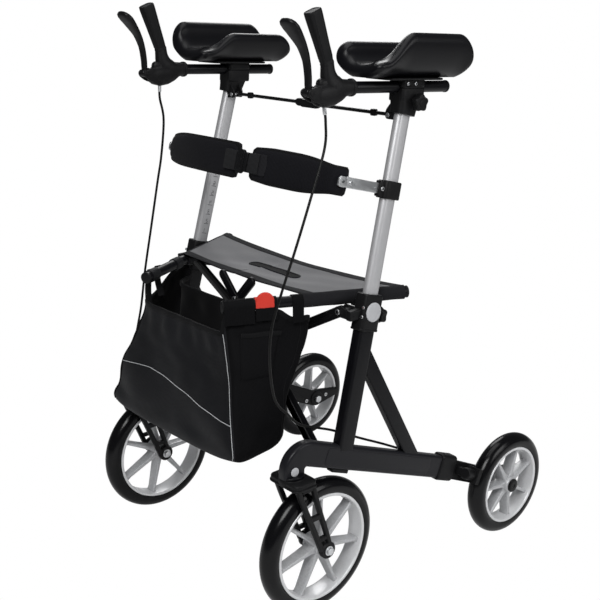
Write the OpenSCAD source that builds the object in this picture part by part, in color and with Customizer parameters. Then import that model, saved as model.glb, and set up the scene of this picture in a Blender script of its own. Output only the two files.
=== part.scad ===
// Upright walker with forearm supports: a folding four-wheeled frame with a net seat, a front bag,
// a back strap and height-adjustable arms. Forward is -Y, up is +Z, the left side is +X.
// The right side is the left side mirrored, except where the folding pieces pass each other.

/* [Wheels] */
// Radius of a front wheel over its tyre
front_wheel_r = 140; // [125:1:150]
// Radius of a rear wheel over its tyre
rear_wheel_r = 116.5; // [105:0.5:125]
// Width of a tyre
tyre_w = 40; // [34:1:42]
// Depth of a tyre from tread to rim
tyre_d = 25; // [20:1:30]
// Thickness of the rim band
rim_t = 9; // [6:0.5:14]
// Width of the rim band
rim_w = 32; // [26:1:36]
// Radius of the wheel hub
hub_r = 19; // [15:0.5:24]
// Width of the wheel hub
hub_w = 44; // [40:1:48]
// Number of blade spokes
spoke_count = 7; // [5:1:9]
// Depth of a spoke along the axle
spoke_w = 26; // [18:1:28]
// Thickness of a spoke at the hub
spoke_root_t = 11; // [8:0.5:14]
// Thickness of a spoke at the rim
spoke_tip_t = 6; // [4:0.5:8]
// Radius of every wheel axle
axle_r = 6; // [5:0.5:8]

/* [Stance] */
// Distance between the two steering axes
caster_track = 562; // [540:1:590]
// Steering axis, fore and aft
caster_y = -307.5; // [-325:0.5:-290]
// Wheel axle behind the steering axis
caster_trail = 64.5; // [50:0.5:75]
// How much wider the rear wheels stand than the casters
rear_wider = 112; // [102:1:138]
// Rear axle behind the beam's end
axle_behind = 167.5; // [155:0.5:190]

/* [Side frame] */
// Height of the lower end of the caster head
head_z = 310; // [306:1:320]
// Straight part of the head below the elbow
head_len = 9; // [5:1:20]
// Fall of the beam towards the rear, degrees
beam_fall = 21.2; // [19:0.1:23]
// Swing of the beam outwards towards the rear, degrees
beam_toe = 3.3; // [2:0.1:4]
// Height of the beam section
beam_h = 49; // [44:1:54]
// Width of the beam section
beam_w = 24; // [20:1:26]
// Corner radius of the beam section
beam_corner = 6; // [3:0.5:8]
// Inner radius of the elbow
elbow_r = 4; // [3:0.5:10]
// Length of the straight beam behind the elbow
beam_len = 408; // [395:1:412]
// Wall of the beam and the other frame tubes
tube_wall = 2; // [1.5:0.25:3]
// Upright's foot behind the steering axis, measured along the beam plan
upright_at = 127; // [115:1:140]
// Lean of the upright to the rear, degrees
upright_lean = 14.6; // [12:0.1:17]
// Lean of the upright inwards, degrees
upright_in = 2.06; // [1:0.02:3]
// Upright tube, across
upright_w = 25; // [23:0.5:30]
// Upright tube, fore and aft
upright_d = 40; // [38:0.5:48]
// Length of the upright from the beam to the collar's top
upright_len = 299; // [285:1:310]
// Rear brace, across
brace_w = 20; // [16:1:22]
// Rear brace, fore and aft
brace_d = 32; // [26:1:38]
// Height on the upright where the brace leaves it
brace_top = 190; // [160:1:200]
// Rear brace's foot behind the steering axis, along the beam plan
brace_foot = 312; // [290:1:330]

/* [Height collar] */
// Collar height
collar_h = 70; // [60:1:80]
// Collar wall around the upright tube
collar_wall = 4; // [3:0.25:6]
// Thickness of the collar's lid over the tube end
collar_lid = 10; // [6:1:14]
// Radius of the round cap on the collar
cap_r = 17; // [12:0.5:20]
// Thickness of the round cap
cap_t = 3; // [2:0.5:5]
// Radius of a knob
knob_r = 17; // [14:0.5:20]
// Thickness of a knob
knob_t = 16; // [12:1:22]
// Radius of a knob's screw
screw_r = 4; // [3:0.25:5]

/* [Masts and arms] */
// Mast, across
mast_w = 20; // [18:0.5:20]
// Mast, fore and aft
mast_d = 34; // [30:0.5:35]
// Lower end of the mast above the beam, along the upright
mast_low = 125; // [123:1:150]
// Mast top above the beam, along the upright
mast_top = 668; // [655:1:680]
// Height of the arm tube's axis over the mast's top, along the upright
arm_rise = 26; // [24:1:32]
// Arm tube rises to the front, degrees
arm_tilt = 3; // [0:0.25:5]
// Arm tube swings out to the front, degrees
arm_toe = -1.5; // [-3:0.25:3]
// Radius of the arm tube
arm_r = 11; // [9:0.5:12]
// Arm tube in front of the mast
arm_front = 160; // [150:1:175]
// Arm tube behind the mast
arm_back = 107; // [90:1:130]
// Forearm pad length
pad_len = 250; // [220:1:270]
// Forearm pad width
pad_w = 128; // [110:1:140]
// Outer wall of the pad above its plate
pad_out_h = 84; // [70:1:95]
// Inner wall of the pad above its plate
pad_in_h = 64; // [50:1:75]
// Thickness of the pad's foam
pad_t = 27; // [20:1:32]
// Pad middle behind the mast
pad_at = -8; // [-20:1:10]
// Thickness of the pad plate
plate_t = 4; // [3:0.5:6]

/* [Handles] */
// Length of the grip
grip_len = 98; // [90:1:115]
// Radius of the grip
grip_r = 15; // [12:0.5:17]
// Lean of the grip to the front, degrees
grip_lean = 20; // [14:0.5:26]
// Lean of the grip inwards, degrees
grip_in = 1; // [0:0.5:6]
// Radius of the lever's pin
lever_pin_r = 3; // [2.5:0.25:4]
// Width of the lever blade
lever_w = 27; // [20:0.5:30]

/* [Seat, bag and strap] */
// Seat rail above the collar's foot
rail_over = 55.9; // [46:0.1:66]
// Radius of a seat rail
rail_r = 11; // [9:0.5:12]
// Rail's front end inside the caster line
rail_front_in = 152; // [141:1:161]
// Front ends of the rails, fore and aft
rail_front_y = -350; // [-360:1:-340]
// Rail's rear end outside the caster line
rail_rear_out = 7; // [-1:1:15]
// Rear ends of the rails, fore and aft
rail_rear_y = -12; // [-20:1:0]
// Front edge of the seat net
seat_front_y = -207; // [-215:1:-195]
// Rear edge of the seat net
seat_rear_y = -20; // [-26:1:-18]
// Thickness of the seat net and of its sleeves
net_t = 2; // [1.5:0.25:3]
// Hand slot in the seat, across
slot_l = 150; // [100:1:180]
// Hand slot in the seat, fore and aft
slot_w = 25; // [20:1:35]
// Lowest point of the bag
bag_low_z = 318; // [312:1:330]
// Front of the bag
bag_front_y = -396.4; // [-400:0.1:-385]
// Wall of the bag
bag_wall = 3; // [2:0.5:5]
// Height of the back strap over the beam, along the upright
strap_at = 499; // [480:1:520]
// Reach of the strap arm in front of the mast
strap_reach = 134; // [120:1:150]
// Height of the back strap at its middle
strap_h = 70; // [60:1:90]
// Height of the back strap at its ends
strap_end_h = 57; // [40:1:60]
// Thickness of the back strap
strap_t = 16; // [10:1:20]
// Forward bow of the back strap
strap_bow = 55; // [30:1:70]
// Part of the back strap's ends that lies along the strap arms
strap_wrap = 40; // [20:1:50]

/* [Fold] */
// Strut's lower hinge inside the caster line
strut_in = 34; // [31:0.5:37]
// Plane of the fold struts, fore and aft
strut_y = -212.5; // [-216:0.5:-208]
// Height of the lower hinges
strut_foot_z = 316; // [312:1:320]
// Struts' common pin below the rails
apex_under = 41; // [35:1:55]
// Stub of a strut beyond the pin where the struts cross
strut_stub = 52; // [40:1:56]
// Strut section, across its hinge axis
strut_h = 20; // [16:1:24]
// Strut section, along its hinge axis
strut_w = 16; // [12:1:18]
// Radius of every fold hinge pin
pin_r = 5; // [4:0.5:6]
// Link's hinge inside the caster line
link_in = 35; // [33:0.5:38]
// Link's hinge in front of the collar's axis
link_fwd = 23; // [20:1:27]
// Link's hinge above the collar's foot
link_over = 34.9; // [29:0.1:38]
// Drop of the link towards the middle
link_drop = 132; // [115:1:148]
// Thickness of a fold link and of a tie link
link_t = 8; // [6:0.5:9]
// Height of the fold link's bar
link_h = 22; // [18:1:26]
// Tie link's hinges below the mast's top, along the upright
tie_low = 28; // [26:1:34]
// Height of the tie link's bar
tie_h = 9; // [7:0.5:11]

/* [Brakes] */
// Radius of the brake cable's sheath
cable_r = 2.5; // [2:0.25:3]
// Room between the brake shoe and the tyre at rest
shoe_gap = 3; // [2.5:0.1:4]
// Height of the brake shoe's pad
shoe_h = 34; // [26:1:40]
// Depth of the brake shoe behind its stem
shoe_d = 12; // [9:1:15]

/* [Fits] */
// Radial room of a turning or sliding round fit
run_fit = 0.06; // [0.02:0.01:0.1]
// Room between pieces that slide past each other
slide_gap = 0.5; // [0.3:0.1:0.8]

/* [Hidden] */

$fn = 64;
eps = 0.01;
// Gap between a soft piece and what it lies on
soft_gap = 0.3;
// Points round a cable
cable_n = 8;

frame_c = [0.16, 0.16, 0.18];
black_c = [0.07, 0.07, 0.08];
silver_c = [0.78, 0.79, 0.81];
rim_c = [0.80, 0.81, 0.83];
net_c = [0.35, 0.35, 0.37];

caster_x = caster_track / 2;
rear_x = caster_x + rear_wider / 2;

// Beam in its own upright plane: u runs back from the steering axis, z is height
bend_r = elbow_r + beam_h / 2;
elbow_z = head_z + head_len;
beam_u0 = bend_r * (1 + sin(beam_fall));
beam_z0 = elbow_z + bend_r * cos(beam_fall);
function beam_mid_z(u) = beam_z0 - (u - beam_u0) * tan(beam_fall);
function beam_top_z(u) = beam_mid_z(u) + beam_h / 2 / cos(beam_fall);
function beam_xy(u) = [caster_x + u * sin(beam_toe), caster_y + u * cos(beam_toe)];
function beam_at(u, z) = [beam_xy(u)[0], beam_xy(u)[1], z];

// Upright: a point at height s along it
up_foot = beam_at(upright_at, beam_top_z(upright_at));
up_dir = [-sin(upright_in) * cos(upright_lean), sin(upright_lean), cos(upright_in) * cos(upright_lean)];
function up_at(s) = up_foot + s * up_dir;
collar_low = upright_len - collar_h;
collar_w = upright_w + 2 * collar_wall;
collar_d = upright_d + 2 * collar_wall;

// Arm tube
arm_mid = up_at(mast_top + arm_rise);

// Seat rail
collar_foot = up_at(collar_low);
rail_z = collar_foot[2] + rail_over;
rail_front_x = caster_x - rail_front_in;
rail_rear_x = caster_x + rail_rear_out;
strut_foot_x = caster_x - strut_in;
strut_apex_z = rail_z - apex_under;
link_x = caster_x - link_in;
link_y = collar_foot[1] - link_fwd;
link_z = collar_foot[2] + link_over;
link_low_z = link_z - link_drop;
beam_end_u = beam_u0 + beam_len * cos(beam_fall);
beam_end = beam_at(beam_end_u, beam_mid_z(beam_end_u));
rear_axle_y = beam_end[1] + axle_behind;
rail_a = [rail_front_x, rail_front_y, rail_z];
rail_b = [rail_rear_x, rail_rear_y, rail_z];
rail_len = norm(rail_b - rail_a);
rail_turn = atan2(rail_b[0] - rail_a[0], rail_b[1] - rail_a[1]);
function rail_x(y) = rail_front_x + (y - rail_front_y) * tan(rail_turn);

// Fold
strut_len = norm([strut_foot_x, strut_apex_z - strut_foot_z]);
strut_rise = atan2(strut_apex_z - strut_foot_z, strut_foot_x);
link_len = norm([link_x, link_z - link_low_z]);
link_fall = atan2(link_z - link_low_z, link_x);
tie_at = up_at(mast_top - tie_low);
// Room from the mast's middle to the tie link's hinge, and the lap of the two links
tie_off = 24;
tie_lap = 12;
tie_x = tie_at[0] - tie_off;
tie_len = tie_x + tie_lap;

// Brake: the shoe faces the rear axle from the end of the beam
shoe_rise = 26;
arm_plate_t = 13;

// Brake cables: each falls freely from its handle, then both run along their beam to the housing
cable_top = arm_mid + [-5.2, -205.2, -22.8];
cable_next = cable_top + [3, 1, -26];
cable_stop = beam_end + [-24.2, -39, 31];
cable_lead = cable_stop + [-3.9, -32, 16];
cable_high_left = [
  cable_top, cable_next, [267, -217, 914], [272, -254, 830], [273, -290, 745],
  [272, -323, 668], [270, -344, 606], [268, -347, 540], [266, -334, 467]];
cable_high_right = [
  cable_top, cable_next, [258, -205, 914], [262, -212, 837], [265, -222, 783],
  [267, -242, 686], [267, -264, 587], [266, -279, 508], [265, -292, 460]];
cable_low = [
  [264, -300, 426], [262, -270, 397], [260, -224, 376], [260, -181, 357], [261, -109, 319],
  [267, -50, 290], [272, 0, 264], cable_lead, cable_stop];

module on_side(s) {
  if (s > 0) children();
  else mirror([1, 0, 0]) children();
}

// Local z along the upright, x across, y to the rear
module on_upright(s) {
  translate(up_at(s)) rotate([-upright_lean, -upright_in, 0]) children();
}

// Local y along the arm tube to the rear
module on_arm() {
  translate(arm_mid) rotate([-arm_tilt, 0, arm_toe]) children();
}

// The beam's plane: local x runs back along the plan, y is height, z is across
module in_beam_plane() {
  translate([caster_x, caster_y, 0]) rotate([0, 0, -beam_toe]) rotate([90, 0, 90]) children();
}

// A rectangle with round corners, and an oval
module round_rect(w, d, r) {
  square([w - 2 * r, d], center = true);
  square([w, d - 2 * r], center = true);
  for (x = [-1, 1], y = [-1, 1]) translate([x * (w / 2 - r), y * (d / 2 - r)]) circle(r);
}
module oval(w, d) {
  square([w, d - w], center = true);
  for (y = [-1, 1]) translate([0, y * (d - w) / 2]) circle(d = w);
}

// A cylinder along x or along y, about the origin
module rod_x(r, l) { rotate([0, 90, 0]) cylinder(r = r, h = l, center = true); }
module rod_y(r, l) { rotate([90, 0, 0]) cylinder(r = r, h = l, center = true); }

// A closed skin over rings of points, all with the same count
module skin(rings) {
  n = len(rings[0]);
  m = len(rings);
  points = concat([for (r = rings) each r], [mean(rings[0]), mean(rings[m - 1])]);
  sides = [for (i = [0 : m - 2], j = [0 : n - 1])
    let (a = i * n + j, b = i * n + (j + 1) % n)
    each [[a, b + n, b], [a, a + n, b + n]]];
  ends = [for (j = [0 : n - 1])
    each [[j, (j + 1) % n, m * n], [(m - 1) * n + (j + 1) % n, (m - 1) * n + j, m * n + 1]]];
  polyhedron(points, concat(sides, ends), convexity = 6);
}
function mean(pts) = [for (k = [0 : 2]) sum([for (p = pts) p[k]]) / len(pts)];
function sum(v, i = 0) = i < len(v) ? v[i] + sum(v, i + 1) : 0;
function unit(v) = v / norm(v);

// Rings of a round cord along a route
function cord_rings(route, r, n) = [for (i = [0 : len(route) - 1])
  let (a = route[max(i - 1, 0)], b = route[min(i + 1, len(route) - 1)], t = unit(b - a),
       e = unit(cross(t, [1, 0, 0])), f = cross(t, e))
  [for (j = [0 : n - 1]) route[i] + r * (cos(360 * j / n) * e + sin(360 * j / n) * f)]];

// Solid outline of the beam: head, elbow and straight tube
module beam_body() {
  in_beam_plane() {
    translate([0, head_z, 0]) rotate([-90, 0, 0]) linear_extrude(head_len)
      round_rect(beam_h, beam_w, beam_corner);
    translate([bend_r, elbow_z, 0]) rotate([0, 0, 90 - beam_fall])
      rotate_extrude(angle = 90 + beam_fall) translate([bend_r, 0]) round_rect(beam_h, beam_w, beam_corner);
    translate([beam_u0, beam_z0, 0]) rotate([0, 0, -90 - beam_fall]) rotate([-90, 0, 0])
      linear_extrude(beam_len) round_rect(beam_h, beam_w, beam_corner);
  }
}

stem_r = 8;
stem_top = head_z + 42;

module lower_beam() {
  ear_t = 6;
  ear_r = pin_r + 6;
  ear_l = 40;
  bore_from = 30;
  color(frame_c) difference() {
    union() {
      beam_body();
      for (e = [-1, 1])
        translate([strut_foot_x, strut_y + e * (strut_w / 2 + slide_gap + ear_t / 2), strut_foot_z]) {
        rod_y(ear_r, ear_t);
        translate([0, -ear_t / 2, -ear_r]) cube([ear_l, ear_t, 2 * ear_r]);
      }
      translate([strut_foot_x, strut_y, strut_foot_z]) rod_y(pin_r, strut_w + 2 * slide_gap + 2 * ear_t);
    }
    in_beam_plane() translate([beam_u0, beam_z0, 0]) rotate([0, 0, -90 - beam_fall]) rotate([-90, 0, 0])
      translate([0, 0, bore_from]) linear_extrude(beam_len)
        round_rect(beam_h - 2 * tube_wall, beam_w - 2 * tube_wall, beam_corner - tube_wall);
    translate([caster_x, caster_y, head_z - 1]) cylinder(r = stem_r + run_fit, h = stem_top - head_z + 2);
  }
}

module upright_solid(extra = 0) {
  on_upright(-30) linear_extrude(30 + upright_len - collar_lid)
    round_rect(upright_w + 2 * extra, upright_d + 2 * extra, 6);
}

module upright_tube() {
  color(black_c) difference() {
    upright_solid();
    on_upright(-40) linear_extrude(40 + upright_len)
      oval(mast_w + 2 * slide_gap, mast_d + 2 * slide_gap);
    beam_body();
    on_upright(height_knob_at) translate([0, upright_d / 2, 0]) rod_y(screw_r + run_fit, upright_d / 2);
  }
}

module rear_brace() {
  top = up_at(brace_top);
  foot = beam_at(brace_foot, beam_mid_z(brace_foot));
  run = foot - top;
  lean = atan2(run[1], -run[2]);
  out = atan2(run[0], norm([run[1], run[2]]));
  color(black_c) difference() {
    translate(top) rotate([lean, 0, 0]) rotate([0, -out, 0]) rotate([180, 0, 0]) difference() {
      linear_extrude(norm(run)) round_rect(brace_w, brace_d, 4);
      translate([0, 0, -1]) linear_extrude(norm(run) + 2)
        round_rect(brace_w - 2 * tube_wall, brace_d - 2 * tube_wall, 4 - tube_wall / 2);
    }
    upright_solid();
    beam_body();
  }
}

knob_over_collar = 30;
height_knob_at = collar_low + knob_over_collar;

module collar_outline() {
  on_upright(collar_low) linear_extrude(collar_h) round_rect(collar_w, collar_d, 8);
}

module height_collar() {
  ear_t = 5;
  ear_r = pin_r + 5;
  ear_l = 40;
  lug_at = 26;
  lug_l = 20;
  color(black_c) difference() {
    union() {
      collar_outline();
      // Ears that carry the fold links on the front inner side
      translate([link_x, link_y, link_z]) {
        for (e = [-1, 1]) translate([0, e * (link_t + 1.5 * slide_gap + ear_t / 2), 0]) {
          rod_y(ear_r, ear_t);
          translate([0, -ear_t / 2, -ear_r]) cube([ear_l, ear_t, 2 * ear_r]);
        }
        rod_y(pin_r, 2 * link_t + 3 * slide_gap + 2 * ear_t);
        translate([lug_at, -link_t - 2 * ear_t, -ear_r])
          cube([ear_l - lug_at, 2 * link_t + 4 * ear_t + lug_l, 2 * ear_r]);
      }
    }
    upright_solid();
    on_upright(0) linear_extrude(upright_len + 1) oval(mast_w + 2 * slide_gap, mast_d + 2 * slide_gap);
    on_upright(height_knob_at) translate([0, upright_d / 2, 0]) rod_y(screw_r + run_fit, upright_d / 2 + 20);
  }
}

// A hand knob with five round hollows, its screw along -y
module hand_knob(screw_l) {
  hollow_r = 7;
  difference() {
    translate([0, knob_t / 2, 0]) rod_y(knob_r, knob_t);
    for (a = [0 : 72 : 288]) rotate([0, a, 0]) translate([knob_r + hollow_r / 2, knob_t / 2, 0])
      rod_y(hollow_r, knob_t + 2);
  }
  translate([0, -screw_l / 2, 0]) rod_y(screw_r, screw_l + eps);
}

module height_knob() {
  boss = 3;
  color(black_c) on_upright(height_knob_at) translate([0, collar_d / 2 + boss, 0])
    hand_knob(collar_d / 2 + boss - mast_d / 2 - slide_gap);
}

plug_r = 9;
module frame_plugs() {
  foot_t = 7;
  color(silver_c) {
    on_upright(upright_len - collar_h / 2 + 2) translate([collar_w / 2 + cap_t / 2, 0, 0])
      rod_x(cap_r, cap_t);
    in_beam_plane() translate([-2, elbow_z + 4, beam_w / 2]) cylinder(r = plug_r, h = 2);
  }
  color(black_c) in_beam_plane()
    translate([upright_at - 4, beam_mid_z(upright_at - 4), 0]) rotate([0, 0, -beam_fall])
      translate([-22, -beam_h / 2 - foot_t, -beam_w / 2 + 3]) cube([44, foot_t, beam_w - 6]);
}

module rail_solid(extra = 0, from = 0, upto = rail_len) {
  translate(rail_a) rotate([0, 0, -rail_turn]) translate([0, from, 0]) rotate([-90, 0, 0])
    cylinder(r = rail_r + extra, h = upto - from);
}

// Block that carries the rail on the inside of the collar
module rail_block(extra = 0) {
  collar_mid = up_at((rail_z - up_foot[2]) / up_dir[2]);
  block_h = 16;
  block_l = 28;
  inner = rail_x(collar_mid[1]) - 2;
  translate([inner - extra, collar_mid[1] - block_l / 2 - extra, rail_z - block_h - extra])
    cube([collar_mid[0] - inner - 2 + 2 * extra, block_l + 2 * extra, block_h + 2 * extra]);
}

module seat_rail() {
  plug = 20;
  color(black_c) difference() {
    union() {
      rail_solid();
      rail_block();
    }
    rail_solid(-tube_wall, plug, rail_len + 1);
    collar_outline();
    upright_solid();
    on_upright(0) linear_extrude(upright_len + 1) oval(mast_w + 2 * slide_gap, mast_d + 2 * slide_gap);
  }
}

// Brake housing: a sleeve over the beam's end, an arm to the axle and a kerb tail
sleeve_l = 34;
sleeve_wall = 4;
arm_plate_x = rear_x - tyre_w / 2 - 5;
stop_r = 5.5;
stop_l = 18;
cable_end = cable_low[len(cable_low) - 1];
cable_run = unit(cable_end - cable_low[len(cable_low) - 2]);

// The shoe's face and its stem
shoe_face = rear_wheel_r + shoe_gap;
stem_len = 26;
shoe_stem_r = 7;
// Root of the stem inside the shoe
stem_root = 5;
axle_at = [rear_x, rear_axle_y, rear_wheel_r];

module on_shoe() {
  translate(axle_at) rotate([-shoe_rise, 0, 0]) children();
}

module brake_housing() {
  boss_r = 22;
  tail_hole_at = 34;
  tail_hole_r = 4;
  guide_x = rear_x - arm_plate_x;
  color(black_c) difference() {
    union() {
      in_beam_plane() translate([beam_end_u, beam_mid_z(beam_end_u), 0]) rotate([0, 0, -90 - beam_fall])
        rotate([-90, 0, 0]) translate([0, 0, -sleeve_l]) linear_extrude(sleeve_l + 12)
          round_rect(beam_h + 2 * sleeve_wall, beam_w + 2 * sleeve_wall, beam_corner + 2);
      translate([arm_plate_x - arm_plate_t, 0, 0]) rotate([90, 0, 90]) linear_extrude(arm_plate_t) {
        polygon([[beam_end[1] - 8, beam_end[2] + 26], [rear_axle_y, rear_wheel_r + boss_r],
                 [rear_axle_y + 78, rear_wheel_r + 9], [rear_axle_y + 84, rear_wheel_r],
                 [rear_axle_y + 78, rear_wheel_r - 9], [rear_axle_y, rear_wheel_r - boss_r],
                 [beam_end[1] - 8, beam_end[2] - 24]]);
        translate([rear_axle_y, rear_wheel_r]) circle(boss_r);
      }
      // Guide for the shoe's stem, in front of the tyre
      on_shoe() translate([0, -shoe_face - shoe_d - slide_gap - stem_len / 2, 0]) {
        rod_y(shoe_stem_r + 5, stem_len);
        translate([-guide_x - 10, -stem_len / 2, -9]) cube([guide_x + 10, stem_len, 18]);
      }
      // Stop for the cable's sheath
      hull() {
        translate(cable_end) orient(cable_run) cylinder(r = stop_r, h = stop_l, $fn = 32);
        translate(cable_end + [12, 0, 0]) orient(cable_run) cylinder(r = stop_r, h = stop_l, $fn = 32);
      }
    }
    beam_body();
    on_shoe() translate([0, -shoe_face - shoe_d - stem_len, 0]) rod_y(shoe_stem_r + run_fit, 2 * stem_len);
    translate(axle_at) rod_x(axle_r + run_fit, 4 * hub_w);
    translate(axle_at + [0, tail_hole_at, 0]) rod_x(tail_hole_r, 4 * hub_w);
    translate([0, rear_axle_y, rear_wheel_r]) translate([arm_plate_x + eps, 0, 0])
      rotate([0, 90, 0]) cylinder(r = rear_wheel_r + shoe_gap, h = 60);
  }
}

// Turns local z onto a direction
module orient(d) {
  rotate([0, acos(d[2]), atan2(d[1], d[0])]) children();
}

module brake_shoe() {
  half = tyre_w / 2 - 4;
  color(black_c) on_shoe() {
    translate([0, -shoe_face - shoe_d + (stem_root - stem_len) / 2, 0])
      rod_y(shoe_stem_r, stem_len + stem_root);
    translate([-half, -shoe_face - shoe_d, -shoe_h / 2]) cube([2 * half, shoe_d, shoe_h]);
  }
}

module tyre(r) {
  crown = tyre_w / 2;
  rotate([0, 90, 0]) rotate_extrude() difference() {
    union() {
      translate([r - crown, 0]) circle(crown);
      translate([r - tyre_d, -rim_w / 2]) square([tyre_d - crown + 4, rim_w]);
    }
    translate([r - 2 * crown - tyre_d, -tyre_w]) square([2 * crown, 2 * tyre_w]);
  }
}

// Standing turn of each wheel's spokes, degrees
front_turn_left = 24;
front_turn_right = 38;
rear_turn_left = 6;
rear_turn_right = 20;

module rim(r, turn) {
  seat = r - tyre_d;
  rotate([0, 90, 0]) difference() {
    union() {
      rotate_extrude() {
        translate([seat - rim_t, -rim_w / 2]) square([rim_t, rim_w]);
        translate([0, -hub_w / 2]) square([hub_r, hub_w]);
      }
      for (i = [0 : spoke_count - 1]) rotate([0, 0, turn + 360 * i / spoke_count])
        linear_extrude(spoke_w, center = true)
          polygon([[0, -spoke_root_t / 2], [seat - rim_t / 2, -spoke_tip_t / 2],
                   [seat - rim_t / 2, spoke_tip_t / 2], [0, spoke_root_t / 2]]);
    }
    cylinder(r = axle_r + run_fit, h = hub_w + 2, center = true);
  }
}

module rear_tyre() { color(black_c) translate(axle_at) tyre(rear_wheel_r); }
module rear_rim(turn) { color(rim_c) translate(axle_at) rim(rear_wheel_r, turn); }

module rear_axle() {
  spacer_r = 11;
  nut_t = 7;
  inner = arm_plate_x - arm_plate_t;
  outer = rear_x + hub_w / 2;
  room = rear_x - hub_w / 2 - arm_plate_x;
  color(silver_c) translate([0, rear_axle_y, rear_wheel_r]) rotate([0, 90, 0]) {
    translate([0, 0, inner]) cylinder(r = axle_r, h = outer + 2 - inner);
    translate([0, 0, inner - nut_t]) cylinder(r = 10, h = nut_t, $fn = 6);
    translate([0, 0, arm_plate_x]) cylinder(r = spacer_r, h = room - 0.4);
    translate([0, 0, outer + 0.4]) cylinder(r = hub_r - 3, h = 5);
  }
}

// Caster fork: stem, crown, two open legs and the axle bolt
fork_in = tyre_w / 2 + 5;
leg_t = 11;
crown_t = 13;
crown_gap = 0.5;
front_axle_y = caster_y + caster_trail;
module caster_fork() {
  crown_top = head_z - crown_gap;
  crown_low = crown_top - crown_t;
  leg_out = fork_in + leg_t;
  boss_r = 17;
  front = -caster_trail - 22;
  back = -caster_trail + 30;
  top = crown_low + 3 - front_wheel_r;
  module leg_outline() {
    polygon([[front, top], [back, top], [13, 6], [-14, -4]]);
    circle(boss_r);
  }
  module leg_holes() {
    polygon([[front + 15, top - 12], [back - 12, top - 12], [-16, top * 0.55], [-46, top * 0.55]]);
    polygon([[-39, top * 0.46], [-14, top * 0.46], [-1, 24], [-9, 22]]);
  }
  translate([caster_x, 0, 0]) {
    color(black_c) {
      translate([0, caster_y, crown_low]) cylinder(r = 25, h = crown_t);
      translate([0, caster_y, crown_top - eps]) cylinder(r = stem_r, h = stem_top - crown_top - 4);
      translate([-leg_out, front_axle_y + front, crown_low]) cube([2 * leg_out, back - front, crown_t - 2]);
      for (s = [-1, 1])
        translate([s * (fork_in + leg_t / 2), front_axle_y, front_wheel_r]) rotate([90, 0, 90])
        linear_extrude(leg_t, center = true) difference() {
          leg_outline();
          leg_holes();
          circle(axle_r + run_fit);
        }
    }
    color(silver_c) translate([0, front_axle_y, front_wheel_r]) {
      rod_x(axle_r, 2 * leg_out);
      for (s = [-1, 1]) {
        translate([s * (leg_out + 2.5), 0, 0]) rod_x(10, 5);
        translate([s * (fork_in + hub_w / 2 + 0.4) / 2, 0, 0]) rod_x(9, fork_in - hub_w / 2 - 0.4);
      }
    }
  }
}

module front_wheel_place() { translate([caster_x, front_axle_y, front_wheel_r]) children(); }
module front_tyre() { color(black_c) front_wheel_place() tyre(front_wheel_r); }
module front_rim(turn) { color(rim_c) front_wheel_place() rim(front_wheel_r, turn); }

module mast() {
  wall = 2;
  color(silver_c) on_upright(mast_low) linear_extrude(mast_top - mast_low) difference() {
    oval(mast_w, mast_d);
    oval(mast_w - 2 * wall, mast_d - 2 * wall);
  }
}

strap_clamp_h = 34;
strap_wall = 5;
strap_corner = 8;
strap_bar_t = 5;
strap_hole_r = 3;
strap_hole_in = 10;
module strap_arm() {
  bar_h = 20;
  color(black_c) on_upright(strap_at) translate([0, 0, -strap_clamp_h / 2]) linear_extrude(strap_clamp_h)
    difference() {
      round_rect(mast_w + 2 * strap_wall, mast_d + 2 * strap_wall, strap_corner);
      oval(mast_w, mast_d);
    }
  color(silver_c) on_upright(strap_at) difference() {
    translate([-strap_bar_t / 2, -strap_reach, -bar_h / 2])
      cube([strap_bar_t, strap_reach - mast_d / 2, bar_h]);
    translate([0, 0, -strap_clamp_h]) linear_extrude(2 * strap_clamp_h)
      round_rect(mast_w + 2 * strap_wall, mast_d + 2 * strap_wall, strap_corner);
    translate([0, strap_hole_in - strap_reach, 0]) rod_x(strap_hole_r, 2 * strap_bar_t);
  }
}

// Clamp on the mast's top: a funnel-shaped socket, a block round the arm tube and the pad plate
socket_h = 22;
block_w = 40;
block_l = 60;
block_low = 26;
plate_gap = 14;
tie_ear_t = 4;
tie_ear_r = 8;
tie_pin_r = pin_r - 2;
module arm_clamp() {
  ear_up = 26;
  plate_l = 150;
  plate_w = 70;
  funnel_w = mast_w + 14;
  funnel_d = mast_d + 12;
  funnel_z = -arm_rise - socket_h;
  funnel_y = funnel_z * tan(upright_lean - arm_tilt);
  color(black_c) difference() {
    union() {
      on_arm() rotate([90, 0, 90]) linear_extrude(funnel_w, center = true) polygon([
        [-block_l / 2, 0], [block_l / 2, 0], [block_l / 2, -block_low],
        [funnel_y + funnel_d / 2, funnel_z], [funnel_y - funnel_d / 2, funnel_z],
        [-block_l / 2, -block_low]]);
      on_arm() translate([-block_w / 2, -block_l / 2, -block_low])
        cube([block_w, block_l, block_low + plate_gap]);
      on_arm() translate([-plate_w / 2, pad_at - plate_l / 2, plate_gap]) cube([plate_w, plate_l, plate_t]);
      // Ear for the tie link, on the inner side
      translate([tie_x, tie_at[1], tie_at[2]]) for (e = [-1, 1])
        translate([0, e * (link_t + 1.5 * slide_gap + tie_ear_t / 2), 0]) {
          rod_y(tie_ear_r, tie_ear_t);
          translate([0, -tie_ear_t / 2, -tie_ear_r]) cube([tie_off, tie_ear_t, tie_ear_r + ear_up]);
        }
      translate([tie_x, tie_at[1], tie_at[2]]) rod_y(tie_pin_r, 2 * link_t + 3 * slide_gap + 2 * tie_ear_t);
    }
    on_upright(mast_top - tie_low - ear_up) linear_extrude(tie_low + ear_up) oval(mast_w, mast_d);
    on_arm() rod_y(arm_r + run_fit, arm_front + arm_back);
    on_clamp_knob() rod_y(screw_r + run_fit, 2 * clamp_screw_l + 1);
  }
}

clamp_knob_low = 27;
clamp_screw_l = 10;
module on_clamp_knob() {
  on_arm() translate([block_w / 2 + 2, 5, -clamp_knob_low]) rotate([0, 0, -90]) children();
}

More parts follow.
